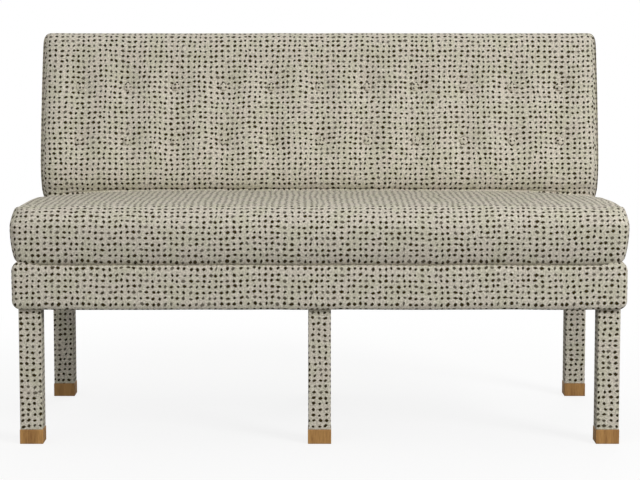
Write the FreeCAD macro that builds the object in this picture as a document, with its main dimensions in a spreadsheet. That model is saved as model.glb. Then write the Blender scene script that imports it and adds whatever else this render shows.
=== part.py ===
import FreeCAD, Part
import math
import os
import Sketcher

# An upholstered banquette bench: a padded box of rails on six cloth-covered legs with oak feet,
# a sprung seat pad pulled down on the rails, and a raked, buttoned back bolted into the box.
# Lengths are millimetres and angles degrees. +Z is up and the front of the seat faces -Y.
# The origin is on the floor, under the middle of the bench's outer box.

SIZES = (
    # The padded box that carries the seat
    ("base_width", 1288),
    ("base_depth", 633),
    ("base_underside", 288),
    ("base_top", 386),
    ("base_corner_radius", 14),
    ("base_edge_radius", 7),
    # Cloth and padding
    ("cover_thickness", 1.5),
    ("rail_padding", 6.5),
    ("wrap_thickness", 8.5),
    ("dust_cover_thickness", 0.5),
    ("dust_cover_margin", 14),
    ("underside_return", 70),
    ("soft_clearance", 0.3),
    # Timber of the box
    ("rail_thickness", 18),
    ("spring_rail_width", 45),
    ("spring_rail_height", 25),
    ("leg_block_width", 60),
    ("leg_block_height", 30),
    # Legs
    ("leg_inset", 12),
    ("foot_width", 49.3),
    ("foot_height", 30.5),
    ("foot_edge_radius", 1.2),
    ("sleeve_set_in", 0.8),
    ("sleeve_thickness", 1.2),
    ("sleeve_corner_radius", 2.4),
    ("dowel_diameter", 10),
    ("dowel_length", 40),
    # Leg bolts and their nuts
    ("bolt_diameter", 8),
    ("bolt_hold_in_leg", 45),
    ("bolt_clearance", 0.5),
    ("bolt_overrun", 2),
    ("tee_nut_barrel_diameter", 10.4),
    ("tee_nut_barrel_length", 9),
    ("tee_nut_flange_diameter", 19),
    ("tee_nut_flange_thickness", 1.5),
    # Wood screws of the frame
    ("screw_length", 60),
    ("screw_shank_diameter", 4.5),
    ("screw_head_diameter", 8.8),
    ("screw_head_height", 4),
    ("screw_tip_length", 8),
    ("screw_row_low", 302),
    ("screw_row_high", 320),
    # Seat springs, clips and cloth under the pad
    ("spring_count", 9),
    ("spring_end_margin", 114),
    ("spring_bars", 21),
    ("spring_width", 48),
    ("spring_wire_diameter", 3.6),
    ("clip_steel_thickness", 0.8),
    ("clip_width", 20),
    ("clip_tail", 6),
    ("clip_lip", 3),
    ("clip_play", 0.2),
    ("tie_wire_diameter", 2.4),
    ("tie_wire_spacing", 150),
    ("hessian_thickness", 1),
    ("deck_margin", 2),
    # Seat pad
    ("pad_bulge", 8),
    ("pad_draw_in", 17),
    ("pad_widest_height", 449),
    ("pad_end_height", 483),
    ("pad_crown_height", 502),
    ("pad_roll_reach", 66),
    ("pad_corner_radius", 25),
    ("pad_rear_corner_radius", 12),
    # Back
    ("back_overhang", 4),
    ("back_top", 858),
    ("back_foot_thickness", 147),
    ("seat_level", 500),
    ("back_lean", 14.4),
    ("back_rear_lean", 6),
    ("back_pinch", 8),
    ("back_pinch_height", 45),
    ("back_edge_roll", 22),
    ("back_end_roll", 12),
    ("back_corner_radius", 18),
    ("back_rear_corner_radius", 12),
    ("back_foam_thickness", 50),
    ("back_top_foam", 12),
    ("outside_padding", 5.5),
    ("outside_board", 3),
    ("outside_margin", 22),
    # Back frame and webbing
    ("stile_thickness", 22),
    ("inner_stile_column_share", 1.5),
    ("end_stile_foot_height", 325),
    ("inner_stile_foot_height", 300),
    ("top_rail_height", 40),
    ("lower_rail_height", 60),
    ("lower_rail_depth", 22),
    ("lower_rail_underside", 520),
    ("webbing_thickness", 1.5),
    ("webbing_width", 60),
    ("back_bolt_head_width", 13),
    ("back_bolt_head_height", 5.5),
    ("back_bolt_low", 338),
    ("back_bolt_spacing", 50),
    # Buttons and tufts
    ("buttons_across", 11),
    ("button_end_margin", 88),
    ("button_low_row", 614),
    ("button_high_row", 738),
    ("button_diameter", 19),
    ("button_height", 5.4),
    ("button_seat", 0.4),
    ("tuft_radius", 34),
    ("tuft_depth", 7),
    ("twine_diameter", 1.8),
    ("twine_clearance", 0.3),
    ("toggle_diameter", 18),
    ("toggle_thickness", 2),
    # How far a cutting shape runs past the surface that it cuts
    ("overrun", 3),
)

doc = FreeCAD.newDocument("banquette_bench")
sheet = doc.addObject("Spreadsheet::Sheet", "sizes")
for row, (word, amount) in enumerate(SIZES, start=1):
    sheet.set(f"A{row}", word)
    sheet.set(f"B{row}", str(amount))
    sheet.setAlias(f"B{row}", word)
doc.recompute()
reading = doc.addObject("App::FeaturePython", "reading")
reading.addProperty("App::PropertyFloat", "Amount")

NODES = {}


def measure(text):
    """The number that an expression on the sheet comes to."""
    reading.setExpression("Amount", text)
    reading.recompute()
    return reading.Amount


def node(name, piece):
    """Names a finished sub-part, so that it is checked and written out."""
    piece.Label = name
    NODES[name] = piece
    return piece


# Expressions that several sub-parts share. Front to rear places count from the middle of the box,
# which BASE_MIDDLE then moves into the bench's frame.

RAIL_TOP = "(sizes.base_top - sizes.cover_thickness)"
RAIL_UNDERSIDE = "(sizes.base_underside + sizes.dust_cover_thickness + sizes.cover_thickness)"
SIDE_BUILD = "(sizes.cover_thickness + sizes.rail_padding)"
RAIL_X = f"(sizes.base_width / 2 - {SIDE_BUILD})"
RAIL_Y = f"(sizes.base_depth / 2 - {SIDE_BUILD})"
INSIDE_X = f"({RAIL_X} - sizes.rail_thickness)"
INSIDE_Y = f"({RAIL_Y} - sizes.rail_thickness)"
CROSS_RAIL_TOP = f"({RAIL_TOP} - sizes.spring_rail_height)"

LEG_X = "(sizes.base_width / 2 - sizes.leg_inset - sizes.foot_width / 2)"
LEG_Y = "(sizes.base_depth / 2 - sizes.leg_inset - sizes.foot_width / 2)"
SLEEVE_WIDTH = "(sizes.foot_width - 2 * sizes.sleeve_set_in)"
POST_WIDTH = f"({SLEEVE_WIDTH} - 2 * sizes.sleeve_thickness)"

LEAN = "(sizes.back_lean * 1 deg)"
REAR_LEAN = "(sizes.back_rear_lean * 1 deg)"
BACK_WIDTH = "(sizes.base_width + 2 * sizes.back_overhang)"
BACK_FACE_AT_SEAT = "(sizes.base_depth / 2 - sizes.back_foot_thickness)"
BACK_SHOULDER = "(sizes.back_top - sizes.back_edge_roll)"
WRAPPED = "(sizes.cover_thickness + sizes.wrap_thickness)"
FOAM_REAR = f"({WRAPPED} + sizes.back_foam_thickness)"
WEBBING_FRONT = f"({FOAM_REAR} + sizes.hessian_thickness)"
WEBBING_MIDDLE = f"({WEBBING_FRONT} + sizes.webbing_thickness)"
FRAME_FRONT = f"({WEBBING_MIDDLE} + sizes.webbing_thickness)"
BOARD_REAR = "(sizes.cover_thickness + sizes.outside_padding)"
FRAME_REAR = f"({BOARD_REAR} + sizes.outside_board)"
TOP_RAIL_TOP = f"(sizes.back_top - {WRAPPED} - sizes.back_top_foam)"
STILE_TOP = f"({TOP_RAIL_TOP} - sizes.top_rail_height)"
BUTTON_SPAN = f"({BACK_WIDTH} - 2 * sizes.button_end_margin)"
BUTTON_PITCH = f"({BUTTON_SPAN} / (sizes.buttons_across - 1))"
INNER_STILE_X = f"(sizes.inner_stile_column_share * {BUTTON_PITCH} - sizes.stile_thickness / 2)"


def face_plane(height, behind):
    """Front to rear place of the plane that lies behind the face of the back, at a height."""
    rise = f"({height} - sizes.seat_level)"
    return f"({BACK_FACE_AT_SEAT} + {rise} * tan({LEAN}) + {behind} / cos({LEAN}))"


def rear_plane(height, inside):
    """Front to rear place of the plane that lies inside the outside back, at a height."""
    rise = f"({height} - sizes.base_top)"
    return f"(sizes.base_depth / 2 + {rise} * tan({REAR_LEAN}) - {inside} / cos({REAR_LEAN}))"


FRONT_REACH = "(sizes.base_depth / 2 + sizes.pad_bulge)"
REAR_REACH = rear_plane(BACK_SHOULDER, "0")
BASE_MIDDLE = f"(({FRONT_REACH} - {REAR_REACH}) / 2)"


# Ways of making a sub-part

def box(name, low, high):
    """A block between two corners, each three expressions counted from the middle of the box."""
    piece = doc.addObject("Part::Box", name)
    piece.setExpression("Placement.Base.x", low[0])
    piece.setExpression("Placement.Base.y", f"{BASE_MIDDLE} + {low[1]}")
    piece.setExpression("Placement.Base.z", low[2])
    for side, start, end in zip(("Length", "Width", "Height"), low, high):
        piece.setExpression(side, f"({end}) - ({start})")
    return piece


def less(name, base, *tools):
    """A sub-part with others cut out of it."""
    tool = tools[0]
    if len(tools) > 1:
        tool = doc.addObject("Part::Compound", f"{name}_tools")
        tool.Links = list(tools)
    piece = doc.addObject("Part::Cut", name)
    piece.Base = base
    piece.Tool = tool
    return piece


def group(name, *pieces):
    """Separate solids of one kind, in one node."""
    piece = doc.addObject("Part::Compound", name)
    piece.Links = list(pieces)
    return piece


def new_body(name):
    """A body whose own planes pass through the middle of the box."""
    body = doc.addObject("PartDesign::Body", name)
    body.setExpression("Placement.Base.y", BASE_MIDDLE)
    return body


def origin_part(body, role):
    """One of a body's own planes or axes."""
    return next(part for part in body.Origin.OriginFeatures if part.Role == role)


def new_sketch(body, role, place=("0", "0", "0")):
    """An empty sketch on one of the body's planes, moved within it and off it."""
    sketch = body.newObject("Sketcher::SketchObject", f"{body.Name}_sketch")
    sketch.AttachmentSupport = (origin_part(body, role), "")
    sketch.MapMode = "FlatFace"
    for axis, text in zip("xyz", place):
        sketch.setExpression(f".AttachmentOffset.Base.{axis}", text)
    return sketch


def pin_down(sketch, geometry, point, place):
    """Ties one point of a sketch to two expressions."""
    for kind, text in zip(("DistanceX", "DistanceY"), place):
        rule = sketch.addConstraint(Sketcher.Constraint(kind, -1, 1, geometry, point, measure(text)))
        sketch.setExpression(f"Constraints[{rule}]", text)


def add_outline(sketch, points):
    """A closed run of straight lines through points, each two expressions."""
    first = sketch.GeometryCount
    places = [FreeCAD.Vector(measure(across), measure(up), 0) for across, up in points]
    for start, end in zip(places, places[1:] + places[:1]):
        sketch.addGeometry(Part.LineSegment(start, end), False)
    for step in range(len(points)):
        after = first + (step + 1) % len(points)
        sketch.addConstraint(Sketcher.Constraint("Coincident", first + step, 2, after, 1))
        pin_down(sketch, first + step, 1, points[step])


def pad(body, sketch, length, midplane=False):
    """Thickens a sketch, to one side of its plane or evenly to both."""
    feature = body.newObject("PartDesign::Pad", f"{body.Name}_pad")
    feature.Profile = sketch
    feature.setExpression("Length", length)
    feature.Midplane = midplane
    body.Tip = feature
    return feature


def round_edges(body, base, radius, wanted):
    """Rounds the edges of the last feature that the test picks out."""
    doc.recompute()
    names = [f"Edge{n}" for n, edge in enumerate(base.Shape.Edges, start=1) if wanted(edge)]
    feature = body.newObject("PartDesign::Fillet", f"{body.Name}_round")
    feature.Base = (base, names)
    feature.setExpression("Radius", radius)
    body.Tip = feature
    doc.recompute()
    return feature


def upright(edge):
    """Whether an edge stands along Z."""
    return edge.BoundBox.ZLength > edge.BoundBox.XLength + edge.BoundBox.YLength


def not_upright(edge):
    return not upright(edge)


def raked_prism(name, points, half_width, centre="0"):
    """A side outline in front-to-rear places and heights, carried evenly both ways from a centre."""
    body = new_body(name)
    body.setExpression("Placement.Base.x", centre)
    sketch = new_sketch(body, "YZ_Plane")
    add_outline(sketch, points)
    pad(body, sketch, f"2 * ({half_width})", midplane=True)
    return body


def turned(body, role, place, profile, axis):
    """A half outline of radius and length turned about its own axis, at a place in the body."""
    sketch = new_sketch(body, role, place)
    add_outline(sketch, profile)
    feature = body.newObject("PartDesign::Revolution", f"{body.Name}_turn")
    feature.Profile = sketch
    feature.ReferenceAxis = (sketch, [axis])
    feature.Angle = 360
    body.Tip = feature
    return feature


def rows(body, features, first, second=None):
    """Repeats features along an axis, or two: each is an axis, a whole length and a count."""
    doc.recompute()
    pattern = body.newObject("PartDesign::LinearPattern", f"{body.Name}_rows")
    pattern.Originals = list(features)
    pattern.Direction = (origin_part(body, first[0]), [""])
    pattern.setExpression("Length", first[1])
    pattern.setExpression("Occurrences", first[2])
    if second:
        pattern.Direction2 = (origin_part(body, second[0]), [""])
        pattern.setExpression("Length2", second[1])
        pattern.setExpression("Occurrences2", second[2])
    body.Tip = pattern
    return pattern


def mirrored(body, role):
    """Repeats the whole body on the far side of one of its planes."""
    doc.recompute()
    feature = body.newObject("PartDesign::Mirrored", f"{body.Name}_mirror")
    feature.MirrorPlane = (origin_part(body, role), [""])
    feature.TransformMode = "Whole shape"
    body.Tip = feature
    return feature


def soft_form(name, shape):
    """A shape made in code, counted from the middle of the box."""
    piece = doc.addObject("Part::Feature", name)
    piece.Shape = shape
    piece.Placement = FreeCAD.Placement(FreeCAD.Vector(0, measure(BASE_MIDDLE), 0), FreeCAD.Rotation())
    return piece


# Frame screws: countersunk wood screws through the front and rear rails into the end rails and
# cross rails, through the end rails into the spring rail, and down through the top rail.

SCREW = (
    ("0", "0"),
    ("sizes.screw_head_diameter / 2", "0"),
    ("sizes.screw_shank_diameter / 2", "sizes.screw_head_height"),
    ("sizes.screw_shank_diameter / 2", "sizes.screw_length - sizes.screw_tip_length"),
    ("0", "sizes.screw_length"),
)
END_RAIL_X = f"({RAIL_X} - sizes.rail_thickness / 2)"
CROSS_RAIL_X = f"({INNER_STILE_X} - sizes.rail_thickness)"
SPRING_RAIL_Y = face_plane(RAIL_TOP, "0")

rail_screws = new_body("rail_screws")
screw_lines = []
for across in (END_RAIL_X, f"({CROSS_RAIL_X} + sizes.rail_thickness / 2)"):
    start = (across, f"-{RAIL_Y}", "sizes.screw_row_low")
    screw_lines.append(turned(rail_screws, "XY_Plane", start, SCREW, "V_Axis"))
rows(rail_screws, screw_lines, ("Z_Axis", "sizes.screw_row_high - sizes.screw_row_low", "2"))
mirrored(rail_screws, "YZ_Plane")
mirrored(rail_screws, "XZ_Plane")

spring_rail_screws = new_body("spring_rail_screws")
inward_screw = [(f"-({along})", radius) for radius, along in SCREW]
screw_start = (
    RAIL_X,
    f"{SPRING_RAIL_Y} - sizes.spring_rail_width / 4",
    f"{RAIL_TOP} - sizes.spring_rail_height / 2",
)
end_screw = turned(spring_rail_screws, "XY_Plane", screw_start, inward_screw, "H_Axis")
rows(spring_rail_screws, [end_screw], ("Y_Axis", "sizes.spring_rail_width / 2", "2"))
mirrored(spring_rail_screws, "YZ_Plane")

top_rail_screws = new_body("top_rail_screws")
downward_screw = [(radius, f"-({along})") for radius, along in SCREW]
top_rail_middle = f"(({face_plane(TOP_RAIL_TOP, FRAME_FRONT)} + {rear_plane(TOP_RAIL_TOP, FRAME_REAR)}) / 2)"
for across in (
    f"({INNER_STILE_X} + sizes.stile_thickness / 2)",
    f"({INSIDE_X} - sizes.stile_thickness / 2)",
):
    start = (across, TOP_RAIL_TOP, f"-{top_rail_middle}")
    turned(top_rail_screws, "XZ_Plane", start, downward_screw, "V_Axis")
mirrored(top_rail_screws, "YZ_Plane")

frame_screws = node("frame_screws", group("frame_screws", rail_screws, spring_rail_screws, top_rail_screws))


# Leg bolts: a hanger bolt screwed into the top of each leg, and a tee nut on the leg block above.

LEG_BLOCK_TOP = f"({RAIL_UNDERSIDE} + sizes.leg_block_height)"
FLANGE_TOP = f"({LEG_BLOCK_TOP} + sizes.tee_nut_flange_thickness)"


def leg_grid(name, profile):
    """The same turned piece on the axis of each of the six legs."""
    body = new_body(name)
    start = (f"-{LEG_X}", "0", LEG_Y)
    feature = turned(body, "XZ_Plane", start, profile, "V_Axis")
    rows(body, [feature], ("X_Axis", f"2 * {LEG_X}", "3"), ("Y_Axis", f"2 * {LEG_Y}", "2"))
    return body


def rod_profile(radius, low, high):
    return (("0", low), (radius, low), (radius, high), ("0", high))


BOLT_RADIUS = "(sizes.bolt_diameter / 2)"
BARREL_RADIUS = "(sizes.tee_nut_barrel_diameter / 2)"
FLANGE_RADIUS = "(sizes.tee_nut_flange_diameter / 2)"
BOLT_FOOT = "(sizes.base_underside - sizes.bolt_hold_in_leg)"

hanger_bolts = node("hanger_bolts", leg_grid(
    "hanger_bolts", rod_profile(BOLT_RADIUS, BOLT_FOOT, f"{FLANGE_TOP} + sizes.bolt_overrun")))
leg_tee_nuts = node("leg_tee_nuts", leg_grid("leg_tee_nuts", (
    (BOLT_RADIUS, f"{LEG_BLOCK_TOP} - sizes.tee_nut_barrel_length"),
    (BARREL_RADIUS, f"{LEG_BLOCK_TOP} - sizes.tee_nut_barrel_length"),
    (BARREL_RADIUS, LEG_BLOCK_TOP),
    (FLANGE_RADIUS, LEG_BLOCK_TOP),
    (FLANGE_RADIUS, FLANGE_TOP),
    (BOLT_RADIUS, FLANGE_TOP),
)))
leg_bolt_ways = leg_grid("leg_bolt_ways", rod_profile(
    BARREL_RADIUS, "sizes.base_underside - sizes.overrun", f"{LEG_BLOCK_TOP} + sizes.overrun"))
DOWEL_FOOT = "(sizes.foot_height - sizes.dowel_length / 2)"
foot_dowels = node("foot_dowels", leg_grid("foot_dowels", rod_profile(
    "sizes.dowel_diameter / 2", DOWEL_FOOT, f"{DOWEL_FOOT} + sizes.dowel_length")))


# Back bolts: two through each stile into the rail beside it, with a tee nut let into the rail.

def back_bolt_group(name, profile):
    """The same turned piece at each back bolt. Lengths count outwards from the joint's nut side."""
    body = new_body(name)
    features = []
    for nut_face, outward in ((RAIL_X, False), (CROSS_RAIL_X, True)):
        half = [(along if outward else f"-({along})", radius) for radius, along in profile]
        between = f"(({face_plane('sizes.back_bolt_low', FRAME_FRONT)} + {INSIDE_Y}) / 2)"
        start = (nut_face, f"{between} - sizes.back_bolt_spacing / 2", "sizes.back_bolt_low")
        features.append(turned(body, "XY_Plane", start, half, "H_Axis"))
    rows(body, features, ("Y_Axis", "sizes.back_bolt_spacing", "2"))
    mirrored(body, "YZ_Plane")
    return body


JOINT_THICKNESS = "(sizes.rail_thickness + sizes.stile_thickness)"
BOLT_TIP = "(sizes.tee_nut_flange_thickness / 2)"
HEAD_END = f"({JOINT_THICKNESS} + sizes.back_bolt_head_height)"
back_bolts = node("back_bolts", back_bolt_group("back_bolts", (
    ("0", BOLT_TIP),
    (BOLT_RADIUS, BOLT_TIP),
    (BOLT_RADIUS, JOINT_THICKNESS),
    ("sizes.back_bolt_head_width / 2", JOINT_THICKNESS),
    ("sizes.back_bolt_head_width / 2", HEAD_END),
    ("0", HEAD_END),
)))
BARREL_END = "(sizes.tee_nut_flange_thickness + sizes.tee_nut_barrel_length)"
back_tee_nuts = node("back_tee_nuts", back_bolt_group("back_tee_nuts", (
    (BOLT_RADIUS, "0"),
    (FLANGE_RADIUS, "0"),
    (FLANGE_RADIUS, "sizes.tee_nut_flange_thickness"),
    (BARREL_RADIUS, "sizes.tee_nut_flange_thickness"),
    (BARREL_RADIUS, BARREL_END),
    (BOLT_RADIUS, BARREL_END),
)))
back_bolt_ways = back_bolt_group("back_bolt_ways", rod_profile(
    f"{BOLT_RADIUS} + sizes.bolt_clearance", "-sizes.overrun", f"{JOINT_THICKNESS} + sizes.overrun"))


# Box of rails: the front and rear rails run full width, the end rails and cross rails between them.

for name, near in (("front_rail", f"-{RAIL_Y}"), ("rear_rail", INSIDE_Y)):
    low = (f"-{RAIL_X}", near, RAIL_UNDERSIDE)
    high = (RAIL_X, f"{near} + sizes.rail_thickness", RAIL_TOP)
    node(name, less(name, box(f"{name}_board", low, high), rail_screws))

for name, near in (("left_end_rail", f"-{RAIL_X}"), ("right_end_rail", INSIDE_X)):
    low = (near, f"-{INSIDE_Y}", RAIL_UNDERSIDE)
    high = (f"{near} + sizes.rail_thickness", INSIDE_Y, RAIL_TOP)
    board = box(f"{name}_board", low, high)
    node(name, less(name, board, rail_screws, spring_rail_screws, back_tee_nuts, back_bolt_ways))

for name, near in (("left_cross_rail", f"-{INNER_STILE_X}"), ("right_cross_rail", CROSS_RAIL_X)):
    low = (near, f"-{INSIDE_Y}", RAIL_UNDERSIDE)
    high = (f"{near} + sizes.rail_thickness", INSIDE_Y, CROSS_RAIL_TOP)
    board = box(f"{name}_board", low, high)
    node(name, less(name, board, rail_screws, back_tee_nuts, back_bolt_ways))

low = (f"-{INSIDE_X}", f"{SPRING_RAIL_Y} - sizes.spring_rail_width / 2", CROSS_RAIL_TOP)
high = (INSIDE_X, f"{SPRING_RAIL_Y} + sizes.spring_rail_width / 2", RAIL_TOP)
node("spring_rail", less("spring_rail", box("spring_rail_board", low, high), spring_rail_screws))

blocks = []
for side in (-1, 0, 1):
    for end in (-1, 1):
        near_x = f"{side} * {INSIDE_X} - ({side} + 1) / 2 * sizes.leg_block_width"
        near_y = f"{end} * {INSIDE_Y} - ({end} + 1) / 2 * sizes.leg_block_width"
        low = (near_x, near_y, RAIL_UNDERSIDE)
        high = (f"{near_x} + sizes.leg_block_width", f"{near_y} + sizes.leg_block_width", LEG_BLOCK_TOP)
        blocks.append(box("leg_block", low, high))
node("leg_blocks", less("leg_blocks", group("plain_leg_blocks", *blocks), leg_bolt_ways))


# Padding glued round the rails, the cloth border over it, and the dust cover below.

def soft_block(name, inside, low, high):
    """The border's rounded outline, drawn in by an amount, from one height to another."""
    body = new_body(name)
    sketch = new_sketch(body, "XY_Plane", ("0", "0", low))
    half_x = f"(sizes.base_width / 2 - {inside})"
    half_y = f"(sizes.base_depth / 2 - {inside})"
    corners = ((f"-{half_x}", f"-{half_y}"), (half_x, f"-{half_y}"), (half_x, half_y), (f"-{half_x}", half_y))
    add_outline(sketch, corners)
    block = pad(body, sketch, f"({high}) - ({low})")
    rounded = round_edges(body, block, f"sizes.base_corner_radius - {inside}", upright)
    round_edges(body, rounded, f"sizes.base_edge_radius - {inside}", not_upright)
    return body


def window(name, half_x, half_y, low, high):
    """A cutting block in the middle of the box."""
    return box(name, (f"-({half_x})", f"-({half_y})", low), (half_x, half_y, high))


padding_block = soft_block("padding_block", "sizes.cover_thickness", RAIL_UNDERSIDE, RAIL_TOP)
rail_space = window(
    "rail_space", RAIL_X, RAIL_Y, f"{RAIL_UNDERSIDE} - sizes.overrun", f"{RAIL_TOP} + sizes.overrun")
node("base_padding", less("base_padding", padding_block, rail_space))

BORDER_UNDERSIDE = "(sizes.base_underside + sizes.dust_cover_thickness)"
border_block = soft_block("border_block", "0", BORDER_UNDERSIDE, "sizes.base_top")
top_window = window("top_window", RAIL_X, RAIL_Y, RAIL_UNDERSIDE, "sizes.base_top + sizes.overrun")
low_window = window(
    "low_window",
    "sizes.base_width / 2 - sizes.underside_return",
    "sizes.base_depth / 2 - sizes.underside_return",
    "sizes.base_underside - sizes.overrun",
    RAIL_TOP,
)
node("base_cover", less("base_cover", border_block, padding_block, top_window, low_window, leg_bolt_ways))

DUST_X = "(sizes.base_width / 2 - sizes.dust_cover_margin)"
DUST_Y = "(sizes.base_depth / 2 - sizes.dust_cover_margin)"
dust_sheet = window("dust_sheet", DUST_X, DUST_Y, "sizes.base_underside", BORDER_UNDERSIDE)
node("dust_cover", less("dust_cover", dust_sheet, leg_bolt_ways))


# Legs: a square post under each corner and the middle, in a sewn cloth sleeve, on an oak foot.

def square_column(name, across, along, width, low, high, edge_radius, wanted):
    """A square upright column with the wanted edges rounded."""
    body = new_body(name)
    sketch = new_sketch(body, "XY_Plane", (across, along, low))
    half = f"({width} / 2)"
    add_outline(sketch, ((f"-{half}", f"-{half}"), (half, f"-{half}"), (half, half), (f"-{half}", half)))
    column = pad(body, sketch, f"({high}) - ({low})")
    round_edges(body, column, edge_radius, wanted)
    return body


def any_edge(edge):
    return True


for side, end, place in (
    (-1, -1, "front_left"), (0, -1, "front_centre"), (1, -1, "front_right"),
    (-1, 1, "rear_left"), (0, 1, "rear_centre"), (1, 1, "rear_right"),
):
    axis_x = f"({side} * {LEG_X})"
    axis_y = f"({end} * {LEG_Y})"
    low = [f"{axis_x} - {POST_WIDTH} / 2", f"{axis_y} - {POST_WIDTH} / 2", "sizes.foot_height"]
    high = [f"{axis_x} + {POST_WIDTH} / 2", f"{axis_y} + {POST_WIDTH} / 2", "sizes.base_underside"]
    post = box(f"{place}_post", low, high)
    node(f"{place}_leg_post", less(f"{place}_leg_post", post, hanger_bolts, foot_dowels))
    tube = square_column(f"{place}_tube", axis_x, axis_y, SLEEVE_WIDTH, "sizes.foot_height",
                         "sizes.base_underside", "sizes.sleeve_corner_radius", upright)
    node(f"{place}_leg_sleeve", less(f"{place}_leg_sleeve", tube, post))
    foot = square_column(f"{place}_block", axis_x, axis_y, "sizes.foot_width", "0",
                         "sizes.foot_height", "sizes.foot_edge_radius", any_edge)
    node(f"{place}_foot", less(f"{place}_foot", foot, foot_dowels))


# Seat springs: zigzag wire springs from the front rail to the spring rail, in steel clips, tied
# together by two wires, with a hessian sheet over them.

WIRE_RADIUS = "(sizes.spring_wire_diameter / 2)"
WIRE_HEIGHT = f"({RAIL_TOP} + sizes.clip_steel_thickness + sizes.clip_play + {WIRE_RADIUS})"
SPRING_SPAN = f"(2 * ({INSIDE_X} - sizes.spring_end_margin))"
SPRING_FRONT = f"(-{RAIL_Y} + sizes.rail_thickness / 2)"
CLIP_TOP = f"({WIRE_HEIGHT} + {WIRE_RADIUS} + sizes.clip_play + sizes.clip_steel_thickness)"
SPRING_MIDDLE = f"(({SPRING_FRONT} + {SPRING_RAIL_Y}) / 2)"


def zigzag_spring():
    """One spring: cross bars joined by half turns, as a tube along lines and quarter arcs."""
    front = measure(SPRING_FRONT)
    bars = round(measure("sizes.spring_bars"))
    pitch = (measure(SPRING_RAIL_Y) - front) / (bars - 1)
    turn = pitch / 2
    reach = measure("sizes.spring_width") / 2 - turn
    height = measure(WIRE_HEIGHT)
    edges = []
    for bar in range(bars):
        side = 1 if bar % 2 == 0 else -1
        here = front + bar * pitch
        start = FreeCAD.Vector(-side * reach, here, height)
        end = FreeCAD.Vector(side * reach, here, height)
        edges.append(Part.LineSegment(start, end).toShape())
        if bar == bars - 1:
            break
        centre = FreeCAD.Vector(side * reach, here + turn, height)
        for quarter in (-90, 0):
            points = []
            for step in (0, 45, 90):
                angle = math.radians(quarter + step)
                spoke = FreeCAD.Vector(side * math.cos(angle), math.sin(angle), 0)
                points.append(centre + spoke * turn)
            edges.append(Part.Arc(*points).toShape())
    path = Part.Wire(edges)
    start = FreeCAD.Vector(-reach, front, height)
    ring = Part.Wire(Part.makeCircle(measure(WIRE_RADIUS), start, FreeCAD.Vector(1, 0, 0)))
    tube = path.makePipeShell([ring], True, False)
    section = math.pi * measure(WIRE_RADIUS) ** 2
    print(f"spring: volume {tube.Volume:.0f}, section times length {section * path.Length:.0f}")
    return tube


spring = zigzag_spring()
springs = []
count = round(measure("sizes.spring_count"))
for place in range(count):
    across = (place / (count - 1) - 1 / 2) * measure(SPRING_SPAN)
    springs.append(spring.translated(FreeCAD.Vector(across, 0, 0)))
node("seat_springs", soft_form("seat_springs", Part.makeCompound(springs)))

clips = new_body("spring_clips")
clips.setExpression("Placement.Base.y", f"{BASE_MIDDLE} + {SPRING_MIDDLE}")
clip_back = f"({SPRING_FRONT} - {SPRING_MIDDLE} - {WIRE_RADIUS} - sizes.clip_play)"
clip_wire = f"({SPRING_FRONT} - {SPRING_MIDDLE})"
clip_floor = f"({RAIL_TOP} + sizes.clip_steel_thickness)"
clip_roof = f"({CLIP_TOP} - sizes.clip_steel_thickness)"
clip_sketch = new_sketch(clips, "YZ_Plane", ("0", "0", f"-{SPRING_SPAN} / 2"))
add_outline(clip_sketch, (
    (f"{clip_back} - sizes.clip_steel_thickness", RAIL_TOP),
    (f"{clip_wire} + sizes.clip_tail", RAIL_TOP),
    (f"{clip_wire} + sizes.clip_tail", clip_floor),
    (clip_back, clip_floor),
    (clip_back, clip_roof),
    (f"{clip_wire} + sizes.clip_lip", clip_roof),
    (f"{clip_wire} + sizes.clip_lip", CLIP_TOP),
    (f"{clip_back} - sizes.clip_steel_thickness", CLIP_TOP),
))
clip = pad(clips, clip_sketch, "sizes.clip_width", midplane=True)
rows(clips, [clip], ("X_Axis", SPRING_SPAN, "sizes.spring_count"))
mirrored(clips, "XZ_Plane")
node("spring_clips", clips)

tie_wires = new_body("spring_tie_wires")
TIE_RADIUS = "(sizes.tie_wire_diameter / 2)"
TIE_END = f"({INSIDE_X} - sizes.soft_clearance)"
tie_start = (
    "0",
    f"{SPRING_MIDDLE} - sizes.tie_wire_spacing / 2",
    f"{WIRE_HEIGHT} - {WIRE_RADIUS} - {TIE_RADIUS} - sizes.clip_play",
)
tie = turned(tie_wires, "XY_Plane", tie_start, (
    (f"-{TIE_END}", "0"), (TIE_END, "0"), (TIE_END, TIE_RADIUS), (f"-{TIE_END}", TIE_RADIUS)), "H_Axis")
rows(tie_wires, [tie], ("Y_Axis", "sizes.tie_wire_spacing", "2"))
node("spring_tie_wires", tie_wires)

DECK_TOP = f"({CLIP_TOP} + sizes.hessian_thickness)"
PAD_FOOT_X = "(sizes.base_width / 2 + sizes.pad_bulge - sizes.pad_draw_in)"
PAD_FOOT_FRONT = f"(-{FRONT_REACH} + sizes.pad_draw_in)"
PAD_FOOT_REAR = f"({face_plane(RAIL_TOP, '0')} + sizes.back_pinch - sizes.soft_clearance)"
DECK_X = f"({PAD_FOOT_X} - sizes.cover_thickness - sizes.deck_margin - {SIDE_BUILD})"
DECK_FRONT = f"({PAD_FOOT_FRONT} + sizes.cover_thickness + sizes.deck_margin)"
DECK_REAR = f"({PAD_FOOT_REAR} - sizes.cover_thickness - sizes.deck_margin)"
node("seat_hessian", box("seat_hessian", (f"-{DECK_X}", DECK_FRONT, CLIP_TOP), (DECK_X, DECK_REAR, DECK_TOP)))


# Seat pad: foam block, fibre wrap and cloth cover, nested inside one another. The pad is drawn in
# where it meets the border, rolls over at the front and ends, and is crowned along its length.

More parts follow.
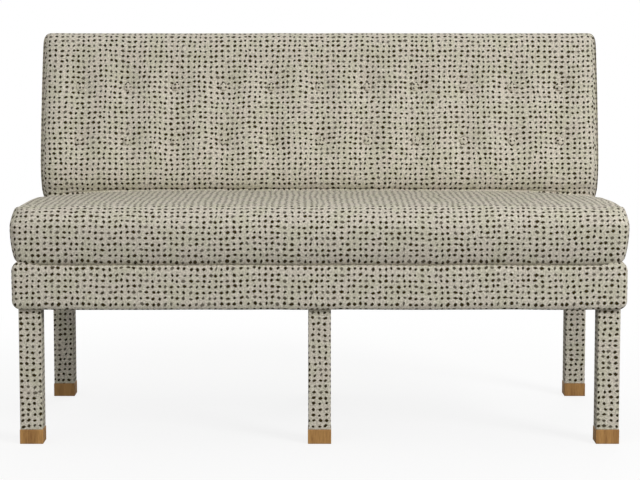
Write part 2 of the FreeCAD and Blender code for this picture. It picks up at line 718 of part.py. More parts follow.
DRAW_IN_SHARES = ((0, 1), (0.12, 0.7), (0.35, 0.4), (0.65, 0.17))
ROLL_HEIGHT_SHARES = (0, 0.35, 0.6, 0.8, 0.92, 1)
CROWN_HEIGHT_SHARES = (0.2, 0.45, 0.7, 0.88, 0.97)


def rounded_ring(height, half_width, front, rear, front_radius, rear_radius):
    """A level outline with rounded corners: four lines and four quarter arcs."""
    arcs = []
    for side_x, side_y, radius, first in (
        (1, front, front_radius, 270), (1, rear, rear_radius, 0),
        (-1, rear, rear_radius, 90), (-1, front, front_radius, 180),
    ):
        inward = radius if side_y == front else -radius
        centre = FreeCAD.Vector(side_x * (half_width - radius), side_y + inward, height)
        points = []
        for step in (0, 45, 90):
            angle = math.radians(first + step)
            spoke = FreeCAD.Vector(math.cos(angle), math.sin(angle), 0)
            points.append(centre + spoke * radius)
        arcs.append(points)
    edges = []
    for here, after in zip(arcs, arcs[1:] + arcs[:1]):
        edges.append(Part.Arc(*here).toShape())
        edges.append(Part.LineSegment(here[2], after[0]).toShape())
    return Part.Wire(edges)


def seat_form(skin):
    """The seat pad's solid, a skin inside its cloth."""
    foot = measure(RAIL_TOP)
    widest = measure("sizes.pad_widest_height")
    end_top = measure("sizes.pad_end_height")
    crown = measure("sizes.pad_crown_height")
    reach = measure("sizes.pad_roll_reach")
    draw_in = measure("sizes.pad_draw_in")
    half = measure("sizes.base_width / 2 + sizes.pad_bulge")
    front = -measure(FRONT_REACH)
    levels = []
    for share, inset_share in DRAW_IN_SHARES:
        inset = draw_in * inset_share
        levels.append((foot + (widest - foot) * share, half - inset, front + inset))
    for share in ROLL_HEIGHT_SHARES:
        height = widest + (end_top - widest) * share
        front_share = (height - widest) / (crown - widest)
        half_width = half - reach * (1 - math.sqrt(1 - share ** 2))
        levels.append((height, half_width, front + reach * (1 - math.sqrt(1 - front_share ** 2))))
    for share in CROWN_HEIGHT_SHARES:
        height = end_top + (crown - end_top) * share
        front_share = (height - widest) / (crown - widest)
        half_width = (half - reach) * math.sqrt(1 - share)
        levels.append((height, half_width, front + reach * (1 - math.sqrt(1 - front_share ** 2))))
    rings = []
    for height, half_width, front_y in levels:
        height -= skin * max(0, (height - widest) / (crown - widest))
        rear_y = measure(face_plane(str(height), "0")) + measure("sizes.back_pinch - sizes.soft_clearance")
        corner = measure("sizes.pad_corner_radius") + (front_y - front) / 2
        rings.append(rounded_ring(
            height, half_width - skin, front_y + skin, rear_y - skin,
            corner, measure("sizes.pad_rear_corner_radius")))
    return Part.makeLoft(rings, True, True)


seat_outer = soft_form("seat_outer", seat_form(0))
seat_inner = soft_form("seat_inner", seat_form(measure("sizes.cover_thickness")))
seat_core = soft_form("seat_core", seat_form(measure(WRAPPED)))
FAR = "sizes.base_width"


def below(name, height):
    """A cutting block of everything under a height."""
    return window(name, FAR, FAR, "0", height)


seat_filling = less("seat_filling", seat_inner, below("hem_space", "sizes.base_top"))
seat_foam = node("seat_foam", less("seat_foam", seat_core, below("deck_space", DECK_TOP)))
deck_block = box("deck_block", (f"-{DECK_X}", DECK_FRONT, f"{RAIL_TOP} - sizes.overrun"),
                 (DECK_X, DECK_REAR, DECK_TOP))
node("seat_wrap", less("seat_wrap", seat_filling, seat_foam, deck_block))
node("seat_cover", less("seat_cover", seat_outer, seat_filling, deck_block))


# Back frame: four raked stiles bolted inside the box, a top rail screwed down on them and a lower
# rail let into their front edges.

def stile(name, centre, foot):
    """A side board: raked front and rear edges, and a heel that bears on the rear rail."""
    shoulder = (INSIDE_Y, RAIL_TOP)
    return raked_prism(name, (
        (face_plane(foot, FRAME_FRONT), foot),
        (INSIDE_Y, foot),
        shoulder,
        (rear_plane(RAIL_TOP, FRAME_REAR), RAIL_TOP),
        (rear_plane(STILE_TOP, FRAME_REAR), STILE_TOP),
        (face_plane(STILE_TOP, FRAME_FRONT), STILE_TOP),
    ), "sizes.stile_thickness / 2", centre)


LOWER_RAIL_TOP = "(sizes.lower_rail_underside + sizes.lower_rail_height)"
LOWER_RAIL_REAR = f"({FRAME_FRONT} + sizes.lower_rail_depth)"
lower_rail = node("back_lower_rail", raked_prism("back_lower_rail", (
    (face_plane("sizes.lower_rail_underside", FRAME_FRONT), "sizes.lower_rail_underside"),
    (face_plane("sizes.lower_rail_underside", LOWER_RAIL_REAR), "sizes.lower_rail_underside"),
    (face_plane(LOWER_RAIL_TOP, LOWER_RAIL_REAR), LOWER_RAIL_TOP),
    (face_plane(LOWER_RAIL_TOP, FRAME_FRONT), LOWER_RAIL_TOP),
), INSIDE_X))

top_rail = raked_prism("top_rail_board", (
    (face_plane(STILE_TOP, FRAME_FRONT), STILE_TOP),
    (rear_plane(STILE_TOP, FRAME_REAR), STILE_TOP),
    (rear_plane(TOP_RAIL_TOP, FRAME_REAR), TOP_RAIL_TOP),
    (face_plane(TOP_RAIL_TOP, FRAME_FRONT), TOP_RAIL_TOP),
), INSIDE_X)
node("back_top_rail", less("back_top_rail", top_rail, top_rail_screws))

END_STILE_X = f"({INSIDE_X} - sizes.stile_thickness / 2)"
MIDDLE_STILE_X = f"({INNER_STILE_X} + sizes.stile_thickness / 2)"
for name, centre, foot in (
    ("left_end_stile", f"-{END_STILE_X}", "sizes.end_stile_foot_height"),
    ("left_inner_stile", f"-{MIDDLE_STILE_X}", "sizes.inner_stile_foot_height"),
    ("right_inner_stile", MIDDLE_STILE_X, "sizes.inner_stile_foot_height"),
    ("right_end_stile", END_STILE_X, "sizes.end_stile_foot_height"),
):
    board = stile(f"{name}_board", centre, foot)
    node(name, less(name, board, lower_rail, back_bolt_ways, back_tee_nuts, top_rail_screws))


# Buttons and tufts: a grid on the face of the back. Each cloth-covered button is drawn into the
# padding by a twine that passes through the webbing to a toggle behind it.

def tuft_grid(name, profile, arc=None):
    """The same turned piece at each button. Lengths count from the face of the back inwards."""
    body = new_body(name)
    low_row = "sizes.button_low_row"
    body.setExpression("Placement.Base.y", f"{BASE_MIDDLE} + {face_plane(low_row, '0')}")
    body.setExpression("Placement.Base.z", low_row)
    lean_back = FreeCAD.Rotation(FreeCAD.Vector(1, 0, 0), -measure("sizes.back_lean"))
    body.Placement = FreeCAD.Placement(FreeCAD.Vector(), lean_back)
    start = (f"-{BUTTON_SPAN} / 2", "0", "0")
    features = []
    if profile:
        features.append(turned(body, "XY_Plane", start, profile, "V_Axis"))
    if arc:
        features.append(tuft_cap(body, start, arc))
    row_step = f"(sizes.button_high_row - sizes.button_low_row) / cos({LEAN})"
    rows(body, features, ("X_Axis", BUTTON_SPAN, "sizes.buttons_across"), ("Z_Axis", row_step, "2"))
    return body


TUFT_SPHERE = "((sizes.tuft_radius ^ 2 + sizes.tuft_depth ^ 2) / (2 * sizes.tuft_depth))"


def tuft_cap(body, start, skin):
    """The cap of a large ball, which dents the face to the tuft's depth and width."""
    sketch = new_sketch(body, "XY_Plane", start)
    centre_y = f"(sizes.tuft_depth - {TUFT_SPHERE})"
    ball = f"({TUFT_SPHERE} + {skin})"
    bottom = f"({centre_y} + {ball})"
    front = "(-sizes.overrun)"
    rim = f"sqrt({ball} ^ 2 - ({front} - {centre_y}) ^ 2)"
    corner = FreeCAD.Vector(0, measure(front), 0)
    edge = FreeCAD.Vector(measure(rim), measure(front), 0)
    deep = FreeCAD.Vector(0, measure(bottom), 0)
    middle = FreeCAD.Vector(0, measure(centre_y), 0)
    first = math.atan2(edge.y - middle.y, edge.x)
    circle = Part.Circle(middle, FreeCAD.Vector(0, 0, 1), measure(ball))
    sketch.addGeometry(Part.LineSegment(corner, edge), False)
    sketch.addGeometry(Part.ArcOfCircle(circle, first, math.pi / 2), False)
    sketch.addGeometry(Part.LineSegment(deep, corner), False)
    sketch.addConstraint(Sketcher.Constraint("Coincident", 0, 2, 1, 1))
    sketch.addConstraint(Sketcher.Constraint("Coincident", 1, 2, 2, 1))
    sketch.addConstraint(Sketcher.Constraint("Coincident", 2, 2, 0, 1))
    pin_down(sketch, 0, 1, ("0", front))
    pin_down(sketch, 0, 2, (rim, front))
    pin_down(sketch, 2, 1, ("0", bottom))
    rule = sketch.addConstraint(Sketcher.Constraint("Radius", 1, measure(ball)))
    sketch.setExpression(f"Constraints[{rule}]", ball)
    feature = body.newObject("PartDesign::Revolution", f"{body.Name}_cap")
    feature.Profile = sketch
    feature.ReferenceAxis = (sketch, ["V_Axis"])
    feature.Angle = 360
    body.Tip = feature
    return feature


BUTTON_BACK = "(sizes.tuft_depth - sizes.button_seat)"
BUTTON_RADIUS = "(sizes.button_diameter / 2)"
BUTTON_RADIUS_SHARES = (0.74, 1, 0.95, 0.64)
BUTTON_HEIGHT_SHARES = (0, 0.22, 0.6, 0.89)
button_profile = [("0", BUTTON_BACK)]
for radius_share, height_share in zip(BUTTON_RADIUS_SHARES, BUTTON_HEIGHT_SHARES):
    button_profile.append((
        f"{radius_share} * {BUTTON_RADIUS}", f"{BUTTON_BACK} - {height_share} * sizes.button_height"))
button_profile.append(("0", f"{BUTTON_BACK} - sizes.button_height"))
node("back_buttons", tuft_grid("back_buttons", button_profile))

TWINE_END = f"({FRAME_FRONT} + sizes.toggle_thickness)"
TWINE_RADIUS = "(sizes.twine_diameter / 2)"
node("button_twines", tuft_grid("button_twines", rod_profile(TWINE_RADIUS, BUTTON_BACK, TWINE_END)))
node("button_toggles", tuft_grid("button_toggles", (
    (TWINE_RADIUS, FRAME_FRONT),
    ("sizes.toggle_diameter / 2", FRAME_FRONT),
    ("sizes.toggle_diameter / 2", TWINE_END),
    (TWINE_RADIUS, TWINE_END),
)))
twine_way = rod_profile(f"{TWINE_RADIUS} + sizes.twine_clearance", "0", f"{FRAME_FRONT} + sizes.overrun")
twine_ways = tuft_grid("twine_ways", twine_way)


# Back webbing and hessian: cross strips behind the button rows, upright strips behind the button
# columns, and a hessian sheet over both.

strips = []
for number, height in enumerate(("sizes.button_low_row", "sizes.button_high_row"), start=1):
    low = f"({height} - sizes.webbing_width / 2 * cos({LEAN}))"
    high = f"({height} + sizes.webbing_width / 2 * cos({LEAN}))"
    strips.append(raked_prism(f"cross_strip_{number}", (
        (face_plane(low, WEBBING_MIDDLE), low), (face_plane(low, FRAME_FRONT), low),
        (face_plane(high, FRAME_FRONT), high), (face_plane(high, WEBBING_MIDDLE), high),
    ), INSIDE_X))

uprights = new_body("upright_strips")
STRIP_LOW = f"({LOWER_RAIL_TOP} - sizes.lower_rail_height / 2)"
STRIP_HIGH = f"({TOP_RAIL_TOP} - sizes.top_rail_height / 4)"
upright_sketch = new_sketch(uprights, "YZ_Plane", ("0", "0", f"-{BUTTON_SPAN} / 2"))
add_outline(upright_sketch, (
    (face_plane(STRIP_LOW, WEBBING_FRONT), STRIP_LOW), (face_plane(STRIP_LOW, WEBBING_MIDDLE), STRIP_LOW),
    (face_plane(STRIP_HIGH, WEBBING_MIDDLE), STRIP_HIGH), (face_plane(STRIP_HIGH, WEBBING_FRONT), STRIP_HIGH),
))
upright_strip = pad(uprights, upright_sketch, "sizes.webbing_width", midplane=True)
rows(uprights, [upright_strip], ("X_Axis", BUTTON_SPAN, "sizes.buttons_across"))
node("back_webbing", less("back_webbing", group("plain_webbing", *strips, uprights), twine_ways))

HESSIAN_LOW = "(sizes.base_top + sizes.webbing_width / 2)"
HESSIAN_X = f"({INSIDE_X} - sizes.deck_margin)"
HESSIAN_HIGH = f"({TOP_RAIL_TOP} - sizes.deck_margin)"
hessian = raked_prism("plain_back_hessian", (
    (face_plane(HESSIAN_LOW, FOAM_REAR), HESSIAN_LOW),
    (face_plane(HESSIAN_LOW, WEBBING_FRONT), HESSIAN_LOW),
    (face_plane(HESSIAN_HIGH, WEBBING_FRONT), HESSIAN_HIGH),
    (face_plane(HESSIAN_HIGH, FOAM_REAR), HESSIAN_HIGH),
), HESSIAN_X)
node("back_hessian", less("back_hessian", hessian, twine_ways))


# Back padding: foam over the front, top and ends of the frame, fibre wrap, and the cloth cover,
# each dented at the buttons and pinched in where the back meets the seat.

PINCH_SHARES = ((0, 1), (0.18, 0.5), (0.5, 0.12), (1, 0))
EDGE_ROLL_ANGLES = (0, 30, 60, 90)


def back_form(skin):
    """The back's padded solid, a skin inside its cloth."""
    half = measure(f"{BACK_WIDTH} / 2") - skin
    pinch = measure("sizes.back_pinch")
    shoulder = measure(BACK_SHOULDER)
    roll = measure("sizes.back_edge_roll") - skin
    end_roll = measure("sizes.back_end_roll") - skin
    seat = measure("sizes.pad_crown_height")
    levels = [(measure("sizes.base_top"), pinch, pinch, 0)]
    for share, pinch_share in PINCH_SHARES:
        height = seat + share * measure("sizes.back_pinch_height")
        levels.append((height, pinch * pinch_share, pinch * pinch_share, 0))
    for degrees in EDGE_ROLL_ANGLES:
        turn = math.radians(degrees)
        fall = 1 - math.cos(turn)
        levels.append((shoulder + roll * math.sin(turn), end_roll * fall, roll * fall, roll * fall))
    rings = []
    for height, end_inset, front_inset, rear_inset in levels:
        front = measure(face_plane(str(height), str(skin))) + front_inset
        rear = measure(rear_plane(str(height), str(skin))) - rear_inset
        rings.append(rounded_ring(
            height, half - end_inset, front, rear,
            measure("sizes.back_corner_radius"), measure("sizes.back_rear_corner_radius")))
    return Part.makeLoft(rings, True, True)


def dented_back(name, skin):
    """The back's solid a skin inside its cloth, with the tufts and the ways of their twines."""
    plain = soft_form(f"{name}_plain", back_form(measure(skin)))
    dents = tuft_grid(f"{name}_dents", twine_way, skin)
    return less(name, plain, dents)


back_outer = dented_back("back_outer", "0")
back_inner = dented_back("back_inner", "sizes.cover_thickness")
back_core = dented_back("back_core", WRAPPED)

FAR_REAR = "sizes.base_depth"
BELOW_BACK = "(sizes.base_top - sizes.overrun)"
ABOVE_BACK = "(sizes.back_top + sizes.overrun)"


def behind(name, inside, high, half_width):
    """A cutting block of everything behind a plane inside the outside back, up to a height."""
    return raked_prism(name, (
        (rear_plane(BELOW_BACK, inside), BELOW_BACK), (FAR_REAR, BELOW_BACK),
        (FAR_REAR, high), (rear_plane(high, inside), high),
    ), half_width)


rear_space = behind("rear_space", FRAME_REAR, ABOVE_BACK, BACK_WIDTH)
frame_space = raked_prism("frame_space", (
    (face_plane(BELOW_BACK, FOAM_REAR), BELOW_BACK), (FAR_REAR, BELOW_BACK),
    (FAR_REAR, TOP_RAIL_TOP), (face_plane(TOP_RAIL_TOP, FOAM_REAR), TOP_RAIL_TOP),
), INSIDE_X)
node("back_foam", less("back_foam", back_core, frame_space, rear_space))
node("back_wrap", less("back_wrap", back_inner, back_core, rear_space))

OUTSIDE_X = f"({BACK_WIDTH} / 2 - sizes.outside_margin)"
OUTSIDE_TOP = f"({BACK_SHOULDER} - sizes.outside_margin / 2)"
rear_window = behind("rear_window", "(2 * sizes.cover_thickness)", OUTSIDE_TOP, OUTSIDE_X)
node("back_cover", less("back_cover", back_outer, back_inner, rear_window))

SHEET_LOW = "(sizes.base_top + sizes.soft_clearance)"


def outside_sheet(name, outer, inner, low, high, half_width):
    """A flat layer of the outside back, between two planes inside its face."""
    return raked_prism(name, (
        (rear_plane(low, inner), low), (rear_plane(low, outer), low),
        (rear_plane(high, outer), high), (rear_plane(high, inner), high),
    ), half_width)


board = node("outside_back_board", outside_sheet(
    "outside_back_board", BOARD_REAR, FRAME_REAR, SHEET_LOW, TOP_RAIL_TOP, INSIDE_X))
in_front = raked_prism("in_front_of_board", (
    (f"-{FAR_REAR}", BELOW_BACK), (rear_plane(BELOW_BACK, FRAME_REAR), BELOW_BACK),
    (rear_plane(ABOVE_BACK, FRAME_REAR), ABOVE_BACK), (f"-{FAR_REAR}", ABOVE_BACK),
), BACK_WIDTH)
padding = soft_form("outside_padding_plain", back_form(measure("sizes.cover_thickness")))
node("outside_back_padding", less("outside_back_padding", padding, in_front, board))
node("outside_back_cover", outside_sheet(
    "outside_back_cover", "0", "sizes.cover_thickness", SHEET_LOW,
    f"({OUTSIDE_TOP} - sizes.soft_clearance)", f"({OUTSIDE_X} - sizes.soft_clearance)"))


# Everything is checked before anything is written.

doc.recompute()
faults = []
for piece in doc.Objects:
    if "Invalid" in piece.State or "Error" in piece.State:
        faults.append(f"{piece.Label}: {piece.State}")
for name, piece in NODES.items():
    if piece.Shape.isNull() or not piece.Shape.isValid():
        faults.append(f"{name}: its shape is null or not valid")
    elif piece.Shape.Volume <= 0:
        faults.append(f"{name}: its shape holds nothing")
if faults:
    raise RuntimeError("\n".join(faults))

os.makedirs("parts", exist_ok=True)
for name, piece in NODES.items():
    piece.Shape.exportStep(f"parts/{name}.step")
print(f"{len(NODES)} nodes written")
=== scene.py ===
import math

import bmesh
import bpy
import numpy as np
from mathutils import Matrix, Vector, noise


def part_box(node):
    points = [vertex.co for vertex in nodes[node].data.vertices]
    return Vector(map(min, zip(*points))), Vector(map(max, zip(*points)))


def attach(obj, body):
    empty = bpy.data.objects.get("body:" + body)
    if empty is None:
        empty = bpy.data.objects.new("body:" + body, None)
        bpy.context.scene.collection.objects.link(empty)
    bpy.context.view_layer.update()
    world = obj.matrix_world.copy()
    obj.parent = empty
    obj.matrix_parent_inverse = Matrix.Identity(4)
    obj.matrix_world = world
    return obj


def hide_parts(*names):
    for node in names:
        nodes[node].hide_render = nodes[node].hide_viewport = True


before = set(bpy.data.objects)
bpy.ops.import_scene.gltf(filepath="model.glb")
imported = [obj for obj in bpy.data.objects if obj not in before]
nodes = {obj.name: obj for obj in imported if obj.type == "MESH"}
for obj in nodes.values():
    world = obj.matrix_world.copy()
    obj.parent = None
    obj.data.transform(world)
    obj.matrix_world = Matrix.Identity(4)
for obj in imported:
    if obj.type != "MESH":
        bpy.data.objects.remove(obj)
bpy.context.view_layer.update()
MM = 0.001


# The frame: planed beech rails, stiles, blocks and leg posts, screwed, bolted and dowelled together.
# All of it is covered by the upholstery, so the wood is left as it came off the planer.

class Socket:
    """An output of a material's nodes that can stand in sums."""

    def __init__(self, look, output):
        self.look = look
        self.output = output

    def sum_with(self, operation, first, second):
        return self.look.add("ShaderNodeMath", {"operation": operation}, {0: first, 1: second})

    def __add__(self, other):
        return self.sum_with("ADD", self, other)

    def __radd__(self, other):
        return self.sum_with("ADD", other, self)

    def __sub__(self, other):
        return self.sum_with("SUBTRACT", self, other)

    def __rsub__(self, other):
        return self.sum_with("SUBTRACT", other, self)

    def __mul__(self, other):
        return self.sum_with("MULTIPLY", self, other)

    def __truediv__(self, other):
        return self.sum_with("DIVIDE", self, other)

    def __abs__(self):
        return self.look.add("ShaderNodeMath", {"operation": "ABSOLUTE"}, {0: self})


class Look:
    """A material in the making. add() makes any node and gives one of its outputs."""

    def __init__(self, name, roughness):
        self.material = bpy.data.materials.new(name)
        self.material.use_nodes = True
        self.tree = self.material.node_tree
        self.shader = self.tree.nodes["Principled BSDF"]
        self.shader.inputs["Roughness"].default_value = roughness

    def join(self, socket, value):
        if isinstance(value, Socket):
            self.tree.links.new(value.output, socket)
        else:
            socket.default_value = value

    def add(self, kind, settings=None, inputs=None, output=0):
        node = self.tree.nodes.new(kind)
        for name, value in (settings or {}).items():
            setattr(node, name, value)
        for name, value in (inputs or {}).items():
            self.join(node.inputs[name], value)
        return Socket(self, node.outputs[output])

    def mix(self, share, first, second):
        """One colour turning into another."""
        return self.add("ShaderNodeMix", {"data_type": "RGBA"}, {0: share, 6: first, 7: second}, 2)

    def ease(self, value, low, high):
        """Nought below low, one above high and a soft step between."""
        return self.add("ShaderNodeMapRange", {"interpolation_type": "SMOOTHSTEP"},
                        {"Value": value, "From Min": low, "From Max": high})

    def parts(self, vector):
        """The three numbers of a vector."""
        return [self.add("ShaderNodeSeparateXYZ", {}, {0: vector}, axis) for axis in range(3)]

    def bump(self, height, distance, strength=1.0):
        normal = self.add("ShaderNodeBump", {},
                          {"Height": height, "Distance": distance, "Strength": strength})
        self.join(self.shader.inputs["Normal"], normal)

    def paint(self, name, value):
        self.join(self.shader.inputs[name], value)


def linear(red, green, blue):
    """A colour picked on a screen, as the shader wants it."""
    return tuple((level / 255) ** 2.2 for level in (red, green, blue)) + (1,)


def wood(name, pale, dark, stretch, roughness):
    """Planed wood: long grain, fine pores and a slow change of tone. stretch is small along the grain."""
    look = Look(name, roughness)
    place = look.add("ShaderNodeTexCoord", output=3)
    along = look.add("ShaderNodeMapping", {}, {"Vector": place, "Scale": stretch})
    rings = look.add("ShaderNodeTexNoise", {},
                     {"Vector": along, "Scale": 55, "Detail": 3, "Distortion": 0.6})
    pores = look.add("ShaderNodeTexNoise", {}, {"Vector": along, "Scale": 420, "Detail": 2})
    tone = look.add("ShaderNodeTexNoise", {}, {"Vector": place, "Scale": 9, "Detail": 1})
    grain = look.ease(rings, 0.32, 0.68) * 0.55 + look.ease(pores, 0.46, 0.66) * 0.3 + (tone - 0.5) * 0.5
    look.paint("Base Color", look.mix(grain, pale, dark))
    look.paint("Roughness", roughness + (pores - 0.5) * 0.2)
    look.bump(pores, 0.15 * MM, 0.5)
    return look.material


def finish_nodes(material, *names):
    """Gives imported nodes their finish."""
    for name in names:
        nodes[name].data.materials.clear()
        nodes[name].data.materials.append(material)


BEECH_PALE = linear(206, 168, 122)
BEECH_DARK = linear(160, 116, 74)
beech_level = wood("beech_grain_level", BEECH_PALE, BEECH_DARK, (0.08, 1, 1), 0.6)
beech_cross = wood("beech_grain_cross", BEECH_PALE, BEECH_DARK, (1, 0.08, 1), 0.6)
beech_upright = wood("beech_grain_upright", BEECH_PALE, BEECH_DARK, (1, 1, 0.08), 0.6)
leg_places = [f"{end}_{side}" for end in ("front", "rear") for side in ("left", "centre", "right")]
finish_nodes(beech_level, "front_rail", "rear_rail", "spring_rail", "leg_blocks", "back_top_rail",
             "back_lower_rail")
finish_nodes(beech_cross, "left_end_rail", "right_end_rail", "left_cross_rail", "right_cross_rail")
finish_nodes(beech_upright, "foot_dowels", "left_end_stile", "left_inner_stile", "right_inner_stile",
             "right_end_stile", *[f"{place}_leg_post" for place in leg_places])

BOARD_PALE = linear(150, 116, 80)
BOARD_DARK = linear(96, 70, 46)
finish_nodes(wood("hardboard", BOARD_PALE, BOARD_DARK, (1, 1, 1), 0.75), "outside_back_board")


# Bolts, tee nuts and screws are zinc plated, and the seat springs, their clips and tie wires are
# drawn and oiled steel. They are the hidden metal of the bench.

def steel(name, bright, dull, roughness):
    """Plated or drawn steel with a little wear."""
    look = Look(name, roughness)
    place = look.add("ShaderNodeTexCoord", output=3)
    wear = look.add("ShaderNodeTexNoise", {}, {"Vector": place, "Scale": 130, "Detail": 3})
    look.shader.inputs["Metallic"].default_value = 1.0
    look.paint("Base Color", look.mix(look.ease(wear, 0.4, 0.65), bright, dull))
    look.paint("Roughness", roughness + wear * 0.25)
    look.bump(wear, 0.05 * MM, 0.3)
    return look.material


finish_nodes(steel("zinc_plate", linear(190, 192, 196), linear(150, 150, 148), 0.3),
             "leg_tee_nuts", "hanger_bolts", "frame_screws", "back_bolts", "back_tee_nuts", "spring_clips")
finish_nodes(steel("spring_wire", linear(112, 108, 104), linear(70, 62, 56), 0.35),
             "seat_springs", "spring_tie_wires")


# Jute hessian lies over the seat springs and over the back's webbing. The webbing is strips of the
# same fibre in a closer weave, stretched across the back frame and tacked.

def woven(look, u, v):
    """The height of plain weave, one thread over and one under, from two angles."""
    wave_u = look.add("ShaderNodeMath", {"operation": "SINE"}, {0: u})
    wave_v = look.add("ShaderNodeMath", {"operation": "SINE"}, {0: v})
    over = look.ease(wave_u * wave_v, -0.3, 0.3)
    return over * abs(wave_u) + (1 - over) * abs(wave_v)


def jute(name, pale, dark, pitch, up):
    """Jute cloth. up is the axis that its warp runs along, and its weft runs along X."""
    look = Look(name, 0.95)
    place = look.add("ShaderNodeTexCoord", output=3)
    angles = look.parts(look.add("ShaderNodeVectorMath", {"operation": "SCALE"},
                                 {0: place, "Scale": math.pi / pitch}))
    weave = woven(look, angles[0], angles[up])
    fibre = look.add("ShaderNodeTexNoise", {}, {"Vector": place, "Scale": 700, "Detail": 3})
    tone = look.add("ShaderNodeTexNoise", {}, {"Vector": place, "Scale": 14, "Detail": 2})
    share = weave * 0.7 + (fibre - 0.5) * 0.9 + (tone - 0.5) * 0.5
    look.paint("Base Color", look.mix(share, dark, pale))
    look.paint("Roughness", 0.88 + fibre * 0.1)
    look.bump(weave + fibre * 0.4, 0.6 * MM, 0.8)
    return look.material


HESSIAN_PALE = linear(178, 148, 104)
HESSIAN_DARK = linear(92, 70, 44)
HESSIAN_PITCH = 2.4 * MM
WEBBING_PITCH = 1.5 * MM
ALONG_Y, ALONG_Z = 1, 2
finish_nodes(jute("seat_hessian_cloth", HESSIAN_PALE, HESSIAN_DARK, HESSIAN_PITCH, ALONG_Y), "seat_hessian")
finish_nodes(jute("back_hessian_cloth", HESSIAN_PALE, HESSIAN_DARK, HESSIAN_PITCH, ALONG_Z), "back_hessian")
finish_nodes(jute("jute_webbing", linear(150, 124, 88), linear(76, 58, 38), WEBBING_PITCH, ALONG_Z),
             "back_webbing")


# Waxed twine ties each button through the back to a toggle behind the webbing, which is a stiff disc
# of vulcanised fibre. Both are hidden in the finished bench.

def fibrous(name, pale, dark, scale, roughness):
    """Twisted or pressed fibre, from its colours and the size of its marks."""
    look = Look(name, roughness)
    place = look.add("ShaderNodeTexCoord", output=3)
    marks = look.add("ShaderNodeTexNoise", {}, {"Vector": place, "Scale": scale, "Detail": 4})
    look.paint("Base Color", look.mix(look.ease(marks, 0.35, 0.65), dark, pale))
    look.paint("Roughness", roughness + (marks - 0.5) * 0.3)
    look.bump(marks, 0.2 * MM, 0.7)
    return look.material


finish_nodes(fibrous("waxed_twine", linear(224, 214, 190), linear(170, 156, 126), 1500, 0.6),
             "button_twines")
finish_nodes(fibrous("vulcanised_fibre", linear(128, 92, 62), linear(78, 54, 36), 300, 0.55),
             "button_toggles")


# Six oak feet, 49 mm square, dowelled to the ends of the leg posts with the grain upright. They are
# sanded, eased at the edges and oiled, and they are the only bare wood that shows.

OAK_PALE = linear(192, 145, 85)
OAK_DARK = linear(132, 90, 45)
oak = wood("oiled_oak", OAK_PALE, OAK_DARK, (1, 1, 0.1), 0.5)
finish_nodes(oak, *[f"{place}_foot" for place in leg_places])


# The cover cloth: natural linen, woven with a loose grid of small dark spots. The grid wanders, and
# no two spots have quite the same size, place or strength. It follows the cloth's own coordinates,
# in metres, so that it goes round the rolls as the real cloth does.

SPOT_PITCH_ACROSS = 13.1 * MM
SPOT_PITCH_ALONG = 12.1 * MM
THREAD_PITCH = 0.9 * MM
DRIFT_ACROSS = 18 * MM
DRIFT_ALONG = 9 * MM
CLOTH_PALE = linear(251, 245, 228)
CLOTH_DARK = linear(160, 153, 136)
CLOTH_GREY = linear(190, 188, 158)
CLOTH_WARM = linear(206, 192, 180)
INK_DARK = linear(42, 34, 12)
INK_PALE = linear(58, 48, 22)


